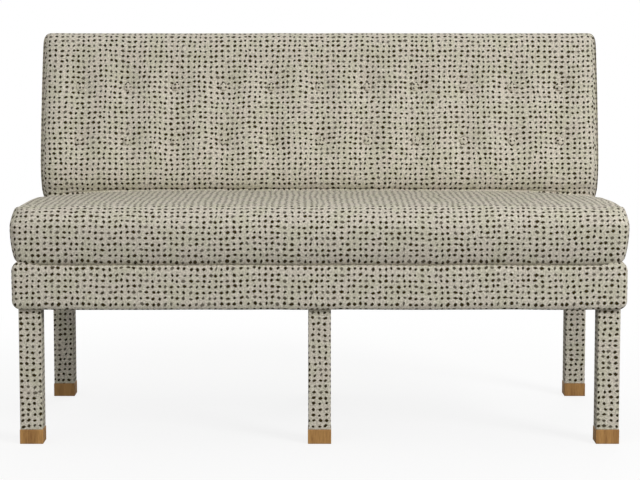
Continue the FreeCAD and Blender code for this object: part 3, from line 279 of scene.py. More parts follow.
def spotted_linen():
    look = Look("spotted_linen", 0.92)
    # The grid wanders, and more slowly along the cloth than across it
    cloth = look.add("ShaderNodeUVMap", {"uv_map": "cloth"})
    slow = look.add("ShaderNodeMapping", {}, {"Vector": cloth, "Scale": (1, 0.4, 1)})
    wander = look.add("ShaderNodeTexNoise", {}, {"Vector": slow, "Scale": 13, "Detail": 1}, 1)
    drift = look.add("ShaderNodeVectorMath", {"operation": "MULTIPLY_ADD"},
                     {0: wander, 1: (DRIFT_ACROSS, DRIFT_ALONG, 0),
                      2: (-DRIFT_ACROSS / 2, -DRIFT_ALONG / 2, 0)})
    moved = look.add("ShaderNodeVectorMath", {"operation": "ADD"}, {0: cloth, 1: drift})
    cells = look.add("ShaderNodeVectorMath", {"operation": "DIVIDE"},
                     {0: moved, 1: (SPOT_PITCH_ACROSS, SPOT_PITCH_ALONG, 1)})
    cell = look.add("ShaderNodeVectorMath", {"operation": "FLOOR"}, {0: cells})
    within = look.add("ShaderNodeVectorMath", {"operation": "SUBTRACT"}, {0: cells, 1: cell})
    chance = look.add("ShaderNodeTexWhiteNoise", {"noise_dimensions": "2D"}, {"Vector": cell}, 1)
    other_cell = look.add("ShaderNodeVectorMath", {"operation": "ADD"}, {0: cell, 1: (31.5, 17.25, 0)})
    other_chance = look.add("ShaderNodeTexWhiteNoise", {"noise_dimensions": "2D"},
                            {"Vector": other_cell}, 1)

    # Each spot has its own place in its cell, size, tilt and strength, and a frayed edge
    x, y, _ = look.parts(within)
    chance_x, chance_y, chance_size = look.parts(chance)
    chance_tilt, chance_strength, chance_height = look.parts(other_chance)
    across = (x - 0.5 - (chance_x - 0.5) * 0.26) * SPOT_PITCH_ACROSS
    along = (y - 0.5 - (chance_y - 0.5) * 0.22) * SPOT_PITCH_ALONG
    leaning = across - along * (chance_tilt - 0.4) * 0.6
    half_width = (2.8 + chance_size * 1.9) * MM
    half_height = (2.7 + chance_height * 1.4) * MM
    fray = look.add("ShaderNodeTexNoise", {}, {"Vector": cloth, "Scale": 620, "Detail": 2})
    shape = abs(leaning / half_width) + abs(along / half_height)
    round_shape = look.add("ShaderNodeMath", {"operation": "SQRT"},
                           {0: (leaning / half_width) * (leaning / half_width)
                            + (along / half_height) * (along / half_height)})
    reach = shape * 0.35 + round_shape * 0.65 + (fray - 0.5) * 1.2
    spot = (1 - look.ease(reach, 0.82, 1.18)) * (0.8 + look.ease(chance_strength, 0, 0.3) * 0.2)

    # Plain weave, with slubs in the yarn both ways, and slow changes of tone
    threads = look.add("ShaderNodeVectorMath", {"operation": "SCALE"},
                       {0: cloth, "Scale": math.pi / THREAD_PITCH})
    u, v, _ = look.parts(threads)
    weave = woven(look, u, v)

    slub_across = look.add("ShaderNodeTexNoise", {}, {
        "Vector": look.add("ShaderNodeMapping", {}, {"Vector": cloth, "Scale": (90, 900, 1)}),
        "Scale": 1, "Detail": 2})
    slub_along = look.add("ShaderNodeTexNoise", {}, {
        "Vector": look.add("ShaderNodeMapping", {}, {"Vector": cloth, "Scale": (900, 90, 1)}),
        "Scale": 1, "Detail": 2})
    blotch = look.add("ShaderNodeTexNoise", {}, {"Vector": cloth, "Scale": 260, "Detail": 3})
    patch = look.add("ShaderNodeTexNoise", {}, {"Vector": cloth, "Scale": 22, "Detail": 2})
    yarn = slub_across * 0.5 + slub_along * 0.5 + (blotch - 0.5) * 0.9 + (weave - 0.6) * 0.12
    ground = look.mix(look.ease(yarn, 0.15, 0.85), CLOTH_DARK, CLOTH_PALE)
    greyed = look.mix(look.ease(patch, 0.45, 0.62) * 0.3, ground, CLOTH_GREY)
    tinted = look.mix(look.ease(patch, 0.55, 0.38) * 0.26, greyed, CLOTH_WARM)
    ink = look.mix(chance_size, INK_DARK, INK_PALE)
    look.paint("Base Color", look.mix(spot, tinted, ink))
    look.paint("Roughness", 0.86 + weave * 0.1)
    look.shader.inputs["Sheen Weight"].default_value = 0.03
    look.shader.inputs["Specular IOR Level"].default_value = 0.15
    look.shader.inputs["Sheen Roughness"].default_value = 0.6
    look.bump(weave * 0.5 + yarn * 0.7 + spot * 0.3, 0.5 * MM, 0.6)
    return look.material


linen = spotted_linen()


# Leg sleeves: each leg post has a sleeve of the cover cloth, sewn to a tube, pulled on and stuck, with
# its lower edge turned in where it meets the oak foot.

class RolledForm:
    """A padded box form: upright walls, corners rounded in plan, and edges rolled over top and bottom.

    Its mesh starts as a cube cut into cells. Each cell corner is moved to its place on the padding,
    and gets the place on the flat cloth that lies there. half, front and rear give the walls at a
    height, and crown gives how much higher or lower the top lies at a place across and back.
    top_roll is how far the top edge rolls back at the front, the rear, and the ends' front and rear,
    and the height of that roll. low_roll is the same for the front, rear and ends of the lower edge.
    corner is the corners' radius in plan at the front and rear, and fullness adds to it on the top's
    roll. band lays the ends' cloth as one strip with the front's. rows spaces the rows of cells up the
    wall, and cut is the cloth's length for each length of padding, across and along.
    """

    def __init__(self, half, front, rear, low, high, top_roll, low_roll, corner, band, crown=None,
                 fullness=0.0, rows=((0, 1), (0, 1)), cut=(1, 1)):
        self.half = half
        self.front = front
        self.rear = rear
        self.low = low
        self.high = high
        self.top_roll = top_roll
        self.low_roll = low_roll
        self.corner = corner
        self.band = band
        self.crown = crown or (lambda across, depth: across * 0)
        self.fullness = fullness
        self.rows = rows
        self.cut = cut

    def build(self, name, cells, around):
        """Cuts the cube and moves it on to the padding. cells are flat cells along X, Y and Z."""
        cage = bmesh.new()
        bmesh.ops.create_cube(cage, size=2)
        for axis, flat in enumerate(cells):
            along = [edge for edge in cage.edges
                     if abs(edge.verts[1].co[axis] - edge.verts[0].co[axis]) > 1]
            bmesh.ops.subdivide_edges(cage, edges=along, cuts=flat + 2 * around - 1, use_grid_fill=True)
        cage.normal_update()
        ends = np.array([abs(face.normal.x) > 0.5 for face in cage.faces])
        mesh = bpy.data.meshes.new(name)
        cage.to_mesh(mesh)
        cage.free()
        start = read_points(mesh)
        flats, rolls = [], []
        for axis, flat in enumerate(cells):
            step = np.rint((start[:, axis] + 1) / 2 * (flat + 2 * around))
            flats.append(np.clip((step - around) / flat * 2 - 1, -1, 1))
            past = np.clip(np.maximum(around - step, step - around - flat), 0, None)
            rolls.append(np.tan(past / around * math.pi / 4) * np.sign(start[:, axis]))
        points, charts, turn = self.place(flats, rolls)
        write_points(mesh, points)
        lay_cloth(mesh, charts, turn, ends if self.band else ends & False)
        piece = bpy.data.objects.new(name, mesh)
        bpy.context.scene.collection.objects.link(piece)
        mesh.polygons.foreach_set("use_smooth", [True] * len(mesh.polygons))
        mesh.materials.append(linen)
        return piece

    def place(self, flats, rolls):
        """The points on the padding, the cloth's three charts and how far each point is turned."""
        flat_x, flat_y, flat_z = flats
        roll_x, roll_y, roll_z = rolls
        level = np.hypot(roll_x, roll_y)
        turn = np.arctan2(abs(roll_x), abs(roll_y))
        climb = np.arctan2(abs(roll_z), level)
        is_top = roll_z >= 0
        fall = 1 - np.cos(climb)
        lift = np.sin(climb)
        top_reach, top_height = self.top_roll
        low_reach, low_height = self.low_roll
        depth = (flat_y + 1) / 2
        front_reach = np.where(is_top, top_reach[0], low_reach[0])
        rear_reach = np.where(is_top, top_reach[1], low_reach[1])
        end_reach = np.where(is_top, top_reach[2] + (top_reach[3] - top_reach[2]) * depth, low_reach[2])
        height = np.where(is_top, top_height, low_height)
        upright = np.interp((flat_z + 1) / 2, *self.rows)
        wall_low = self.low + low_height
        wall_high = self.high - top_height
        nominal = np.where(roll_z > 0, wall_high + height * lift,
                           np.where(roll_z < 0, wall_low - height * lift,
                                    wall_low + (wall_high - wall_low) * upright))
        at_front = roll_y < 0
        radius = np.where(at_front, self.corner[0], self.corner[1]) * np.cos(climb)
        radius = radius + self.fullness * np.sin(climb) * np.cos(climb) * is_top
        middle_x = self.half(nominal) - end_reach * fall - radius
        across = flat_x * middle_x + np.sign(roll_x) * radius * np.sin(turn) * (level > 0)
        level_ends = (abs(roll_x) > 0) & (roll_y == 0)
        across = np.where(level_ends, np.sign(roll_x) * (middle_x + radius), across)
        crown = self.crown(across, depth) * lift * (roll_z > 0)
        z = nominal + crown
        front_middle = self.front(z) + front_reach * fall + radius
        rear_middle = self.rear(z) - rear_reach * fall - radius
        back = front_middle + (rear_middle - front_middle) * depth
        back = back + np.sign(roll_y) * radius * np.cos(turn) * (level > 0) * (roll_y != 0)
        points = np.stack([across, back, z], axis=1)

        # How far down the cloth a point is from where the top starts to roll
        angle = math.pi / 2 - climb
        rim = np.where(at_front, top_reach[0], top_reach[1])
        rolled = np.where(is_top, angle, math.pi / 2) / math.sqrt(2)
        top_arc = rolled * np.hypot(rim, top_height) - crown
        end_arc = rolled * math.hypot(top_reach[2], top_height) - crown
        wall = np.where(roll_z > 0, 0, wall_high - np.maximum(nominal, wall_low))
        under = np.where(roll_z < 0, climb, 0) * math.hypot(low_reach[0], low_height) / math.sqrt(2)
        down = top_arc + wall + under
        end_down = end_arc + wall + under
        settled = np.where(is_top, np.cos(climb), 1)
        side_x = np.sign(roll_x)
        side_y = np.sign(roll_y)
        round_x = middle_x + radius * (np.sin(turn) * (1 - settled) + turn * settled)
        front_u = np.where(abs(roll_x) > 0, side_x * round_x, across)
        edge_y = np.where(at_front, self.front(wall_high) + top_reach[0],
                          self.rear(wall_high) - top_reach[1])
        front_v = np.where(
            abs(roll_y) > 0,
            edge_y + side_y * (down - (1 - settled) * radius * (1 - np.cos(turn))), back)
        edge_x = self.half(wall_high) - top_reach[2]
        end_u = np.where(
            abs(roll_x) > 0,
            side_x * (edge_x + end_down - (1 - settled) * radius * (1 - np.sin(turn))), across)
        away = math.pi / 2 - turn
        round_y = radius * (np.cos(turn) * (1 - settled) + away * settled)
        middle_y = np.where(at_front, front_middle, rear_middle)
        end_v = np.where(abs(roll_y) > 0, middle_y + side_y * round_y, back)
        band_u = side_x * (middle_x + radius * math.pi / 2 + end_v - self.front(wall_high))
        band_v = self.front(wall_high) + top_reach[0] - end_down
        charts = [np.stack((u * self.cut[0], v * self.cut[1]), axis=1)
                  for u, v in ((front_u, front_v), (end_u, end_v), (band_u, band_v))]
        return points, charts, turn


def read_points(mesh):
    points = np.zeros(len(mesh.vertices) * 3, np.float32)
    mesh.vertices.foreach_get("co", points)
    return points.reshape(-1, 3).astype(float)


def write_points(mesh, points):
    mesh.vertices.foreach_set("co", points.astype(np.float32).ravel())
    mesh.update()


def lay_cloth(mesh, charts, turn, banded):
    """Gives each face corner its place on the flat cloth, from the chart that its face lies on."""
    layer = mesh.uv_layers.new(name="cloth")
    corners = np.zeros(len(mesh.loops), np.int32)
    mesh.loops.foreach_get("vertex_index", corners)
    corners = corners.reshape(-1, 4)
    chart = (turn[corners].mean(axis=1) > math.pi / 4).astype(int)
    chart[banded] = 2
    places = np.stack(charts)[np.repeat(chart, 4), corners.ravel()]
    layer.data.foreach_set("uv", places.astype(np.float32).ravel())


def ride(piece, slot, *replaced):
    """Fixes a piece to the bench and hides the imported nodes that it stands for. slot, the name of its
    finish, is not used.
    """
    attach(piece, "root")
    if replaced:
        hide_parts(*replaced)


SLEEVE_CORNER = 2.4 * MM
SLEEVE_HEM = 1.4 * MM
AT_AN_END = 0.01 * MM
for place in leg_places:
    low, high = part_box(f"{place}_leg_sleeve")
    centre = (low + high) / 2
    size = (high - low) / 2
    sleeve = RolledForm(
        half=lambda z: size.x + 0 * z,
        front=lambda z: -size.y + 0 * z,
        rear=lambda z: size.y + 0 * z,
        low=low.z, high=high.z,
        top_roll=((SLEEVE_HEM,) * 4, SLEEVE_HEM),
        low_roll=((SLEEVE_HEM,) * 3, SLEEVE_HEM),
        corner=(SLEEVE_CORNER, SLEEVE_CORNER),
        band=True,
    ).build(f"{place}_leg_sleeve_cloth", (8, 8, 36), 2)

    # The sleeve is open at both ends, and each one is cut from another place of the cloth
    cage = bmesh.new()
    cage.from_mesh(sleeve.data)
    layer = cage.loops.layers.uv["cloth"]
    caps = [face for face in cage.faces
            if all(abs(vertex.co.z - low.z) < AT_AN_END or abs(vertex.co.z - high.z) < AT_AN_END
                   for vertex in face.verts)]
    bmesh.ops.delete(cage, geom=caps, context="FACES")
    bmesh.ops.translate(cage, verts=cage.verts, vec=(centre.x, centre.y, 0))
    for face in cage.faces:
        for corner in face.loops:
            corner[layer].uv.x += centre.x * 3.7 + centre.y * 1.9
    cage.to_mesh(sleeve.data)
    cage.free()
    ride(sleeve, "cover_cloth", f"{place}_leg_sleeve")


# The base border: padding glued round the box of rails, and one band of the cover cloth pulled tight
# over it, stapled on top under the seat and below, with softly rounded edges.

def soft_step(value, low, high):
    """Nought below low, one above high and a soft step between."""
    share = np.clip((value - low) / (high - low), 0, 1)
    return share * share * (3 - 2 * share)


def read_normals(mesh):
    normals = np.zeros(len(mesh.vertices) * 3, np.float32)
    mesh.vertex_normals.foreach_get("vector", normals)
    return normals.reshape(-1, 3).astype(float)


def hand_pulled(piece, swell, span, seed):
    """Small, slow unevenness of padding that was pulled down by hand."""
    points = read_points(piece.data)
    shift = Vector((seed * 3.1, seed * 7.7, seed * 5.3))
    waves = np.array([noise.noise(Vector(point) / span + shift) for point in points])
    write_points(piece.data, points + read_normals(piece.data) * (waves * swell)[:, None])


low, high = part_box("base_cover")
BORDER_FORWARD = 4 * MM
BORDER_HANG = 1.6 * MM
BORDER_SINK = 5.5 * MM
BORDER_RISE = 6.8 * MM
BORDER_TOP_ROLL = (5 * MM, 5 * MM, 17 * MM, 17 * MM), 14 * MM
BORDER_LOW_ROLL = (9 * MM, 9 * MM, 20 * MM), 18 * MM
BORDER_CORNER = 14 * MM
base_front, base_rear = low.y - BORDER_FORWARD, high.y
base_half = high.x
base_low, base_top = low.z, high.z


def border_crown(across, depth):
    """The top is sunk along the front, under the pad's roll, and stands higher at the ends and behind."""
    return BORDER_RISE * np.maximum(soft_step(abs(across), 585 * MM, 612 * MM), soft_step(depth, 0.2, 0.6))


border = RolledForm(
    half=lambda z: base_half + 0 * z,
    front=lambda z: base_front + 0 * z,
    rear=lambda z: base_rear + 0 * z,
    low=base_low - BORDER_HANG, high=base_top - BORDER_SINK,
    top_roll=BORDER_TOP_ROLL,
    low_roll=BORDER_LOW_ROLL,
    corner=(BORDER_CORNER, BORDER_CORNER),
    band=True,
    crown=border_crown,
).build("base_border", (90, 40, 8), 6)
hand_pulled(border, 0.9 * MM, 0.11, 1)
ride(border, "cover_cloth", "base_cover", "base_padding")


# The seat pad: foam over sprung hessian, wrapped in fibre and pulled down all round with one piece of
# the cover cloth. It is crowned along its length, rolls over at the front and ends, and is drawn in
# at the hem, where it sinks behind the border's edge.

def refine(piece):
    """Divides the mesh once, smoothly."""
    smooth = piece.modifiers.new("refine", "SUBSURF")
    smooth.levels = smooth.render_levels = 1
    finer = piece.evaluated_get(bpy.context.evaluated_depsgraph_get())
    coarse = piece.data
    piece.data = bpy.data.meshes.new_from_object(finer)
    piece.modifiers.clear()
    bpy.data.meshes.remove(coarse)


SETTLING_FRAMES = 20


def settle(piece, held, pressure, most):
    """Lets the cover find its own rest over the padding, whose spring is the pressure under it.

    held is one where the cover is fixed down and nought where it is free, and most is the furthest
    that the padding lets it go.
    """
    mesh = piece.data
    before = read_points(mesh)
    group = piece.vertex_groups.new(name="held")
    for weight in np.unique(np.round(held, 1)):
        if weight > 0:
            at_weight = np.nonzero(np.round(held, 1) == weight)[0]
            group.add(at_weight.tolist(), float(weight), "REPLACE")
    cloth = piece.modifiers.new("settle", "CLOTH")
    cloth.settings.quality = 4
    cloth.settings.tension_stiffness = 60
    cloth.settings.compression_stiffness = 40
    cloth.settings.bending_stiffness = 1.0
    cloth.settings.vertex_group_mass = "held"
    cloth.settings.use_pressure = True
    cloth.settings.uniform_pressure_force = pressure
    cloth.settings.effector_weights.gravity = 0
    cloth.collision_settings.use_collision = False
    for moment in range(1, SETTLING_FRAMES + 1):
        bpy.context.scene.frame_set(moment)
    settled = piece.evaluated_get(bpy.context.evaluated_depsgraph_get())
    moves = read_points(settled.data) - before
    far = np.linalg.norm(moves, axis=1)[:, None]
    moves *= np.minimum(1, most / np.maximum(far, 1e-9))
    piece.modifiers.remove(cloth)
    piece.vertex_groups.remove(group)
    bpy.context.scene.frame_set(1)
    write_points(mesh, before + moves)


LEAN = math.radians(14.4)
SEAT_LEVEL = 500 * MM
FACE_AT_SEAT = 149.85 * MM
PAD_HALF = 645.5 * MM
PAD_WIDEST = 465 * MM
PAD_EDGE_LEVEL = 500.2 * MM
PAD_HEM = base_top - 9.5 * MM
PAD_HEM_HEIGHT = 20 * MM
PAD_FORWARD = 4.5 * MM
PAD_BEHIND_FACE = 35 * MM
PAD_END_SINK = 16 * MM
PAD_REAR_SINK = 6 * MM
low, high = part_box("seat_cover")
pad_front = low.y - PAD_FORWARD
pad_rise = high.z - PAD_EDGE_LEVEL


def back_face(z):
    """Where the back's leaning face stands at a height."""
    return FACE_AT_SEAT + (z - SEAT_LEVEL) * math.tan(LEAN)


def drawn_in(z, most, undercut, rolls_from, rolls_to):
    """How far the pad's wall is drawn in below its widest level, and rolls under above the hem."""
    below = np.clip((PAD_WIDEST - z) / (PAD_WIDEST - PAD_HEM), 0, 1)
    under = np.clip((rolls_from - z) / (rolls_from - rolls_to), 0, 1)
    return most * below ** 2.1 + undercut * (1 - np.sqrt(1 - under ** 2))


def pad_crown(across, depth):
    """The top is nearly level along the front, and sinks towards the ends where the back stands on it."""
    share = np.clip(abs(across) / PAD_HALF, 0, 1)
    at_ends = share ** 5
    return (pad_rise * (1 - at_ends) - PAD_END_SINK * at_ends * depth ** 2.5
            - PAD_REAR_SINK * depth ** 3)


pad_form = RolledForm(
    half=lambda z: PAD_HALF - drawn_in(z, 12 * MM, 6.5 * MM, rolls_from=400 * MM, rolls_to=386 * MM),
    front=lambda z: pad_front + drawn_in(z, 11 * MM, 9.3 * MM, rolls_from=402 * MM, rolls_to=382 * MM),
    rear=lambda z: back_face(z) + PAD_BEHIND_FACE,
    low=PAD_HEM, high=PAD_EDGE_LEVEL,
    top_roll=((40 * MM, 8 * MM, 11 * MM, 25 * MM), PAD_EDGE_LEVEL - PAD_WIDEST),
    low_roll=((1 * MM, 1 * MM, 1 * MM), PAD_HEM_HEIGHT),
    corner=(21 * MM, 12 * MM),
    band=False,
    crown=pad_crown,
    fullness=58 * MM,
)
pad = pad_form.build("seat_pad", (76, 26, 6), 6)
points = read_points(pad.data)
at_hem = points[:, 2] < PAD_HEM + PAD_HEM_HEIGHT
at_rear = points[:, 1] > back_face(points[:, 2]) - 4 * MM
settle(pad, (at_hem | at_rear).astype(float), pressure=0.15, most=2.5 * MM)
refine(pad)
hand_pulled(pad, 1.0 * MM, 0.10, 5)
ride(pad, "cover_cloth", "seat_cover", "seat_wrap", "seat_foam")


# The back: foam and fibre wrap over the frame, covered in one piece of cloth that comes round the top
# and ends. It is pinched in where it stands on the seat, and drawn in at 22 buttons.

low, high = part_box("back_cover")
back_half = high.x
back_top = high.z
REAR_LEAN = math.radians(6)
BACK_ROLL = 22 * MM
BACK_END_ROLL = 15 * MM
PINCH_FROM = 501 * MM
PINCH_DEPTH = 25 * MM
PINCH_RADIUS = 50 * MM


def pinch(z):
    """How far the back's lower corners are drawn in, just above the seat."""
    under = np.clip(PINCH_FROM - z, 0, PINCH_DEPTH)
    return PINCH_RADIUS - np.sqrt(PINCH_RADIUS ** 2 - under ** 2)


def tucked(z):
    """How far the back's face rolls in towards the seat, slowly at first and faster at the seat."""
    slow = np.clip((570 * MM - z) / (70 * MM), 0, 1)
    fast = np.clip((520 * MM - z) / (22 * MM), 0, 1.3)
    return 20 * MM * slow ** 2 + 6 * MM * fast ** 2


back_form = RolledForm(
    half=lambda z: back_half - pinch(z),
    front=lambda z: back_face(z) + tucked(z),
    rear=lambda z: base_rear + (z - base_top) * math.tan(REAR_LEAN),
    low=base_top, high=back_top,
    top_roll=((BACK_ROLL, BACK_ROLL, BACK_END_ROLL, BACK_END_ROLL), BACK_ROLL),
    low_roll=((2 * MM,) * 3, 2 * MM),
    corner=(32 * MM, 14 * MM),
    band=True,
    crown=lambda across, depth: 2 * MM * (abs(across) / back_half) ** 8,
    rows=((0, 0.06, 0.34, 1), (0, 0.205, 0.285, 1)),
    cut=(1.01, 1.03),
)


def high_at_rear(across):
    """The level of the seat's top where the back stands on it, all along the bench."""
    points = read_points(pad.data)
    behind = points[:, 1] - back_face(points[:, 2])
    near = (abs(behind - 14 * MM) < 14 * MM) & (points[:, 2] > PAD_WIDEST - 5 * MM)
    stops = np.linspace(-640, 640, 81) * MM
    levels = [points[near & (abs(points[:, 0] - stop) < 10 * MM), 2].max() for stop in stops]
    return np.interp(across, stops, levels)


BUTTON_COLUMNS = 11
BUTTON_PITCH = 112 * MM
BUTTON_LEVELS = (614 * MM, 738 * MM)
TUFT_DEPTH = 15 * MM
TUFT_RADIUS = 16 * MM
VALLEY_DEPTH = 12.5 * MM
VALLEY_SHARE = 0.38
DIMPLE_HEIGHT = 44 * MM
TIED_RADIUS = 9 * MM
CREASE_DEPTH = 3.5 * MM
CREASE_LEVEL = 3 * MM
CREASE_WIDTH = 1.6 * MM
button_places = [
    Vector(((column - BUTTON_COLUMNS // 2) * BUTTON_PITCH, back_face(level), level))
    for level in BUTTON_LEVELS for column in range(BUTTON_COLUMNS)
]
inward = Vector((0, math.cos(LEAN), -math.sin(LEAN)))
uphill = Vector((0, math.sin(LEAN), math.cos(LEAN)))
back = back_form.build("back_pad", (160, 8, 64), 4)

# Each button draws a wide dimple, and soft valleys join the dimples up the face
points = read_points(back.data)
level = points[:, 2]
on_face = points[:, 1] - back_face(level) < 20 * MM
valley = 0.5 + 0.5 * np.cos(points[:, 0] * (2 * math.pi / BUTTON_PITCH))
drawn = (VALLEY_SHARE * soft_step(level, 512 * MM, 560 * MM)
         * (1 - soft_step(level, 745 * MM, 830 * MM)))
for button_level in BUTTON_LEVELS:
    drawn = np.maximum(drawn, np.exp(-((level - button_level) / DIMPLE_HEIGHT) ** 2))
drawn *= 1 - soft_step(abs(points[:, 0]), 562 * MM, 622 * MM)
dent = VALLEY_DEPTH * valley * drawn
for place in button_places:
    offset = points - np.array(place)
    reach = np.hypot(offset[:, 0], offset @ np.array(uphill))
    dent = dent + (TUFT_DEPTH - VALLEY_DEPTH) * np.exp(-(reach / TUFT_RADIUS) ** 2.2)
points += np.outer(dent * on_face, np.array(inward))
write_points(back.data, points)
held = (points[:, 2] < high_at_rear(points[:, 0]) + 12 * MM).astype(float)
held[points[:, 1] > back_face(points[:, 2]) + 46 * MM] = 1
for place in button_places:
    reach = np.linalg.norm(points - np.array(place + inward * TUFT_DEPTH), axis=1)
    held[reach < TIED_RADIUS] = 1
settle(back, held, pressure=1.0, most=2.5 * MM)
refine(back)
hand_pulled(back, 0.8 * MM, 0.09, 3)

# A narrow crease just above the seat, where the cover is pulled down tight
points = read_points(back.data)
above_seat = points[:, 2] - high_at_rear(points[:, 0])
on_face = (points[:, 1] - back_face(points[:, 2]) < 46 * MM) * (above_seat < 40 * MM)
points[:, 1] += CREASE_DEPTH * np.exp(-((above_seat - CREASE_LEVEL) / CREASE_WIDTH) ** 2) * on_face
write_points(back.data, points)
ride(back, "cover_cloth", "back_cover", "back_wrap", "back_foam")


# Buttons: 19 mm metal shells covered in the same cloth, tied through the back with waxed twine to
# stiff discs behind the webbing.

BUTTON_RADIUS = 9.5 * MM
BUTTON_DOME = 3.4 * MM
BUTTON_STAND = 3.6 * MM
cage = bmesh.new()
for place in button_places:
    made = bmesh.ops.create_uvsphere(cage, u_segments=24, v_segments=12, radius=1)["verts"]
    seat = place + inward * (TUFT_DEPTH - BUTTON_STAND)
    for vertex in made:
        side, away, rise = vertex.co.x, vertex.co.z, vertex.co.y
        vertex.co = (seat + Vector((side * BUTTON_RADIUS, 0, 0)) + uphill * rise * BUTTON_RADIUS
                     - inward * away * BUTTON_DOME)
bmesh.ops.recalc_face_normals(cage, faces=cage.faces)
layer = cage.loops.layers.uv.new("cloth")
for face in cage.faces:
    face.smooth = True
    for corner in face.loops:
        corner[layer].uv = (corner.vert.co.x * 1.3 + 0.41, corner.vert.co.z * 1.3 + 0.13)
mesh = bpy.data.meshes.new("back_button_covers")
cage.to_mesh(mesh)
cage.free()
mesh.materials.append(linen)
buttons = bpy.data.objects.new("back_button_covers", mesh)
bpy.context.scene.collection.objects.link(buttons)
ride(buttons, "cover_cloth", "back_buttons")


# The outside back: a panel of the same cloth over thin padding and board, turned in at its edges and
# slip stitched to the back's cover.

low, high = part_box("outside_back_cover")
PANEL_STAND = 1.6 * MM
panel_half = high.x
panel_top = high.z
cage = bmesh.new()
bmesh.ops.create_grid(cage, x_segments=120, y_segments=42, size=1)
layer = cage.loops.layers.uv.new("cloth")
rear_slope = math.tan(REAR_LEAN)
for vertex in cage.verts:
    across, up = vertex.co.x, (vertex.co.y + 1) / 2
    z = low.z + (panel_top - low.z) * up
    edge = min(1 - abs(across), 1 - up) * 30
    puff = PANEL_STAND * min(1, max(0, edge)) ** 0.5
    vertex.co = (-across * panel_half, base_rear + (z - base_top) * rear_slope + puff - 0.4 * MM, z)
for face in cage.faces:
    face.smooth = True
    for corner in face.loops:
        corner[layer].uv = (corner.vert.co.x + 0.07, corner.vert.co.z + 0.31)
mesh = bpy.data.meshes.new("outside_back_panel")
cage.to_mesh(mesh)
cage.free()
mesh.materials.append(linen)
panel = bpy.data.objects.new("outside_back_panel", mesh)
bpy.context.scene.collection.objects.link(panel)
ride(panel, "cover_cloth", "outside_back_cover", "outside_back_padding")


# The dust cover: thin black non-woven cloth under the box of rails, cut round the legs, its edges
# turned in and stapled over the turned-under edge of the border's cloth. It sags a little.

low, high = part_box("dust_cover")
DUST_COVER_SAG = 3 * MM
sleeves = [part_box(f"{place}_leg_sleeve") for place in leg_places]
cage = bmesh.new()
bmesh.ops.create_grid(cage, x_segments=120, y_segments=58, size=1)
middle = (low + high) / 2
half = (high - low) / 2
bmesh.ops.scale(cage, verts=cage.verts, vec=(half.x, half.y, 1))
bmesh.ops.translate(cage, verts=cage.verts, vec=(middle.x, middle.y, 0))
for axis, normal in ((0, (1, 0, 0)), (1, (0, 1, 0))):
    for stop in sorted({corner[axis] for sleeve in sleeves for corner in sleeve}):
        if low[axis] < stop < high[axis]:
            everything = list(cage.verts) + list(cage.edges) + list(cage.faces)
            bmesh.ops.bisect_plane(cage, geom=everything, plane_co=Vector(normal) * stop, plane_no=normal)
under_legs = [
    face for face in cage.faces
    if any(start.x < face.calc_center_median().x < end.x and start.y < face.calc_center_median().y < end.y
           for start, end in sleeves)
]
bmesh.ops.delete(cage, geom=under_legs, context="FACES")
for vertex in cage.verts:
    in_x = half.x - abs(vertex.co.x - middle.x)
    in_y = half.y - abs(vertex.co.y - middle.y)
    inside = min(in_x, in_y)
    sag = (DUST_COVER_SAG * math.sin(math.pi / 2 * in_x / half.x)
           * math.sin(math.pi / 2 * in_y / half.y))
    pucker = 0.4 * MM * math.cos((vertex.co.x + vertex.co.y) * 140) * math.exp(-inside / 0.03)
    edge = base_low - 1.7 * MM - min(1.2 * MM, 0.09 * inside)
    vertex.co.z = edge - (sag + pucker) * min(1, inside / 0.02)
bmesh.ops.reverse_faces(cage, faces=cage.faces)
for face in cage.faces:
    face.smooth = True
mesh = bpy.data.meshes.new("dust_cover_cloth")
cage.to_mesh(mesh)
cage.free()
look = Look("black_dust_cloth", 0.95)
place = look.add("ShaderNodeTexCoord", output=3)
fibres = look.add("ShaderNodeTexVoronoi", {"feature": "DISTANCE_TO_EDGE"}, {"Vector": place, "Scale": 420})
haze = look.add("ShaderNodeTexNoise", {}, {"Vector": place, "Scale": 900, "Detail": 3})
matted = look.ease(fibres, 0.16, 0.0) * 0.5 + haze * 0.5
look.paint("Base Color", look.mix(matted, linear(20, 20, 22), linear(62, 62, 64)))
look.paint("Roughness", 0.85 + haze * 0.12)
look.bump(matted, 0.15 * MM, 0.6)
mesh.materials.append(look.material)
dust = bpy.data.objects.new("dust_cover_cloth", mesh)
bpy.context.scene.collection.objects.link(dust)
ride(dust, "dust_cloth", "dust_cover")


# The camera stands in front at a little under a metre, and looks slightly down on the seat. The
# light is a broad soft studio light from the front and a little from the right.

camera_data = bpy.data.cameras.new("front_camera")
camera_data.sensor_width = 36
camera_data.lens = 115.3
camera_data.shift_x = 0.0007
camera = bpy.data.objects.new("front_camera", camera_data)
camera.location = (0, -4.579, 0.8811)
camera.rotation_euler = (math.radians(83.985), 0, 0)
bpy.context.scene.collection.objects.link(camera)
bpy.context.scene.camera = camera


def soft_lamp(name, place, target, width, power):
    lamp = bpy.data.lights.new(name, "AREA")
    lamp.shape = "SQUARE"
    lamp.size = width
    lamp.energy = power
    stand = bpy.data.objects.new(name, lamp)
    stand.location = place
    stand.rotation_euler = (Vector(target) - Vector(place)).to_track_quat("-Z", "Y").to_euler()
    bpy.context.scene.collection.objects.link(stand)


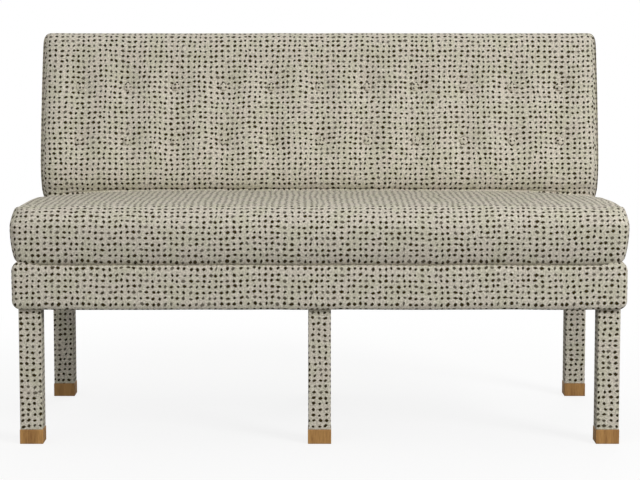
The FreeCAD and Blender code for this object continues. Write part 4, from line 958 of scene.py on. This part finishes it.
soft_lamp("key_light", (4.0, -4.0, 3.3), (0, 0, 0.5), 2.0, 190)
soft_lamp("fill_light", (-2.6, -4.6, 2.4), (0, 0, 0.5), 3.0, 34)
soft_lamp("rear_light", (0.5, 4.2, 3.0), (0, 0, 0.5), 3.0, 70)

world = bpy.data.worlds.new("studio")
bpy.context.scene.world = world
world.use_nodes = True
tree = world.node_tree
surroundings = tree.nodes["Background"]
surroundings.inputs["Color"].default_value = (1, 1, 1, 1)
surroundings.inputs["Strength"].default_value = 0.5
backdrop = tree.nodes.new("ShaderNodeBackground")
backdrop.inputs["Color"].default_value = (1, 1, 1, 1)
backdrop.inputs["Strength"].default_value = 1.0
rays = tree.nodes.new("ShaderNodeLightPath")
seen = tree.nodes.new("ShaderNodeMath")
seen.operation = "MAXIMUM"
tree.links.new(rays.outputs["Is Camera Ray"], seen.inputs[0])
tree.links.new(rays.outputs["Is Glossy Ray"], seen.inputs[1])
blend = tree.nodes.new("ShaderNodeMixShader")
tree.links.new(seen.outputs[0], blend.inputs[0])
tree.links.new(surroundings.outputs[0], blend.inputs[1])
tree.links.new(backdrop.outputs[0], blend.inputs[2])
tree.links.new(blend.outputs[0], tree.nodes["World Output"].inputs["Surface"])

FLOOR_HALF = 30
cage = bmesh.new()
bmesh.ops.create_grid(cage, x_segments=1, y_segments=1, size=FLOOR_HALF)
mesh = bpy.data.meshes.new("floor")
cage.to_mesh(mesh)
cage.free()
floor = bpy.data.objects.new("floor", mesh)
bpy.context.scene.collection.objects.link(floor)
look = Look("studio_floor", 0.9)
place = look.add("ShaderNodeTexCoord", output=3)
away = look.add("ShaderNodeVectorMath", {"operation": "LENGTH"}, {0: place}, 1)
path = look.add("ShaderNodeLightPath")
look.paint("Base Color", look.mix(path, (0.25, 0.245, 0.24, 1), (0.97, 0.97, 0.97, 1)))
glow = look.add("ShaderNodeEmission", {}, {"Color": (1, 1, 1, 1), "Strength": 1.0})
share = (0.84 + look.ease(away, 0.8, 1.8) * 0.16) * path
base = Socket(look, look.shader.outputs[0])
both = look.add("ShaderNodeMixShader", {}, {0: share, 1: base, 2: glow})
look.join(look.tree.nodes["Material Output"].inputs["Surface"], both)
mesh.materials.append(look.material)

bpy.context.scene.view_settings.view_transform = "Standard"
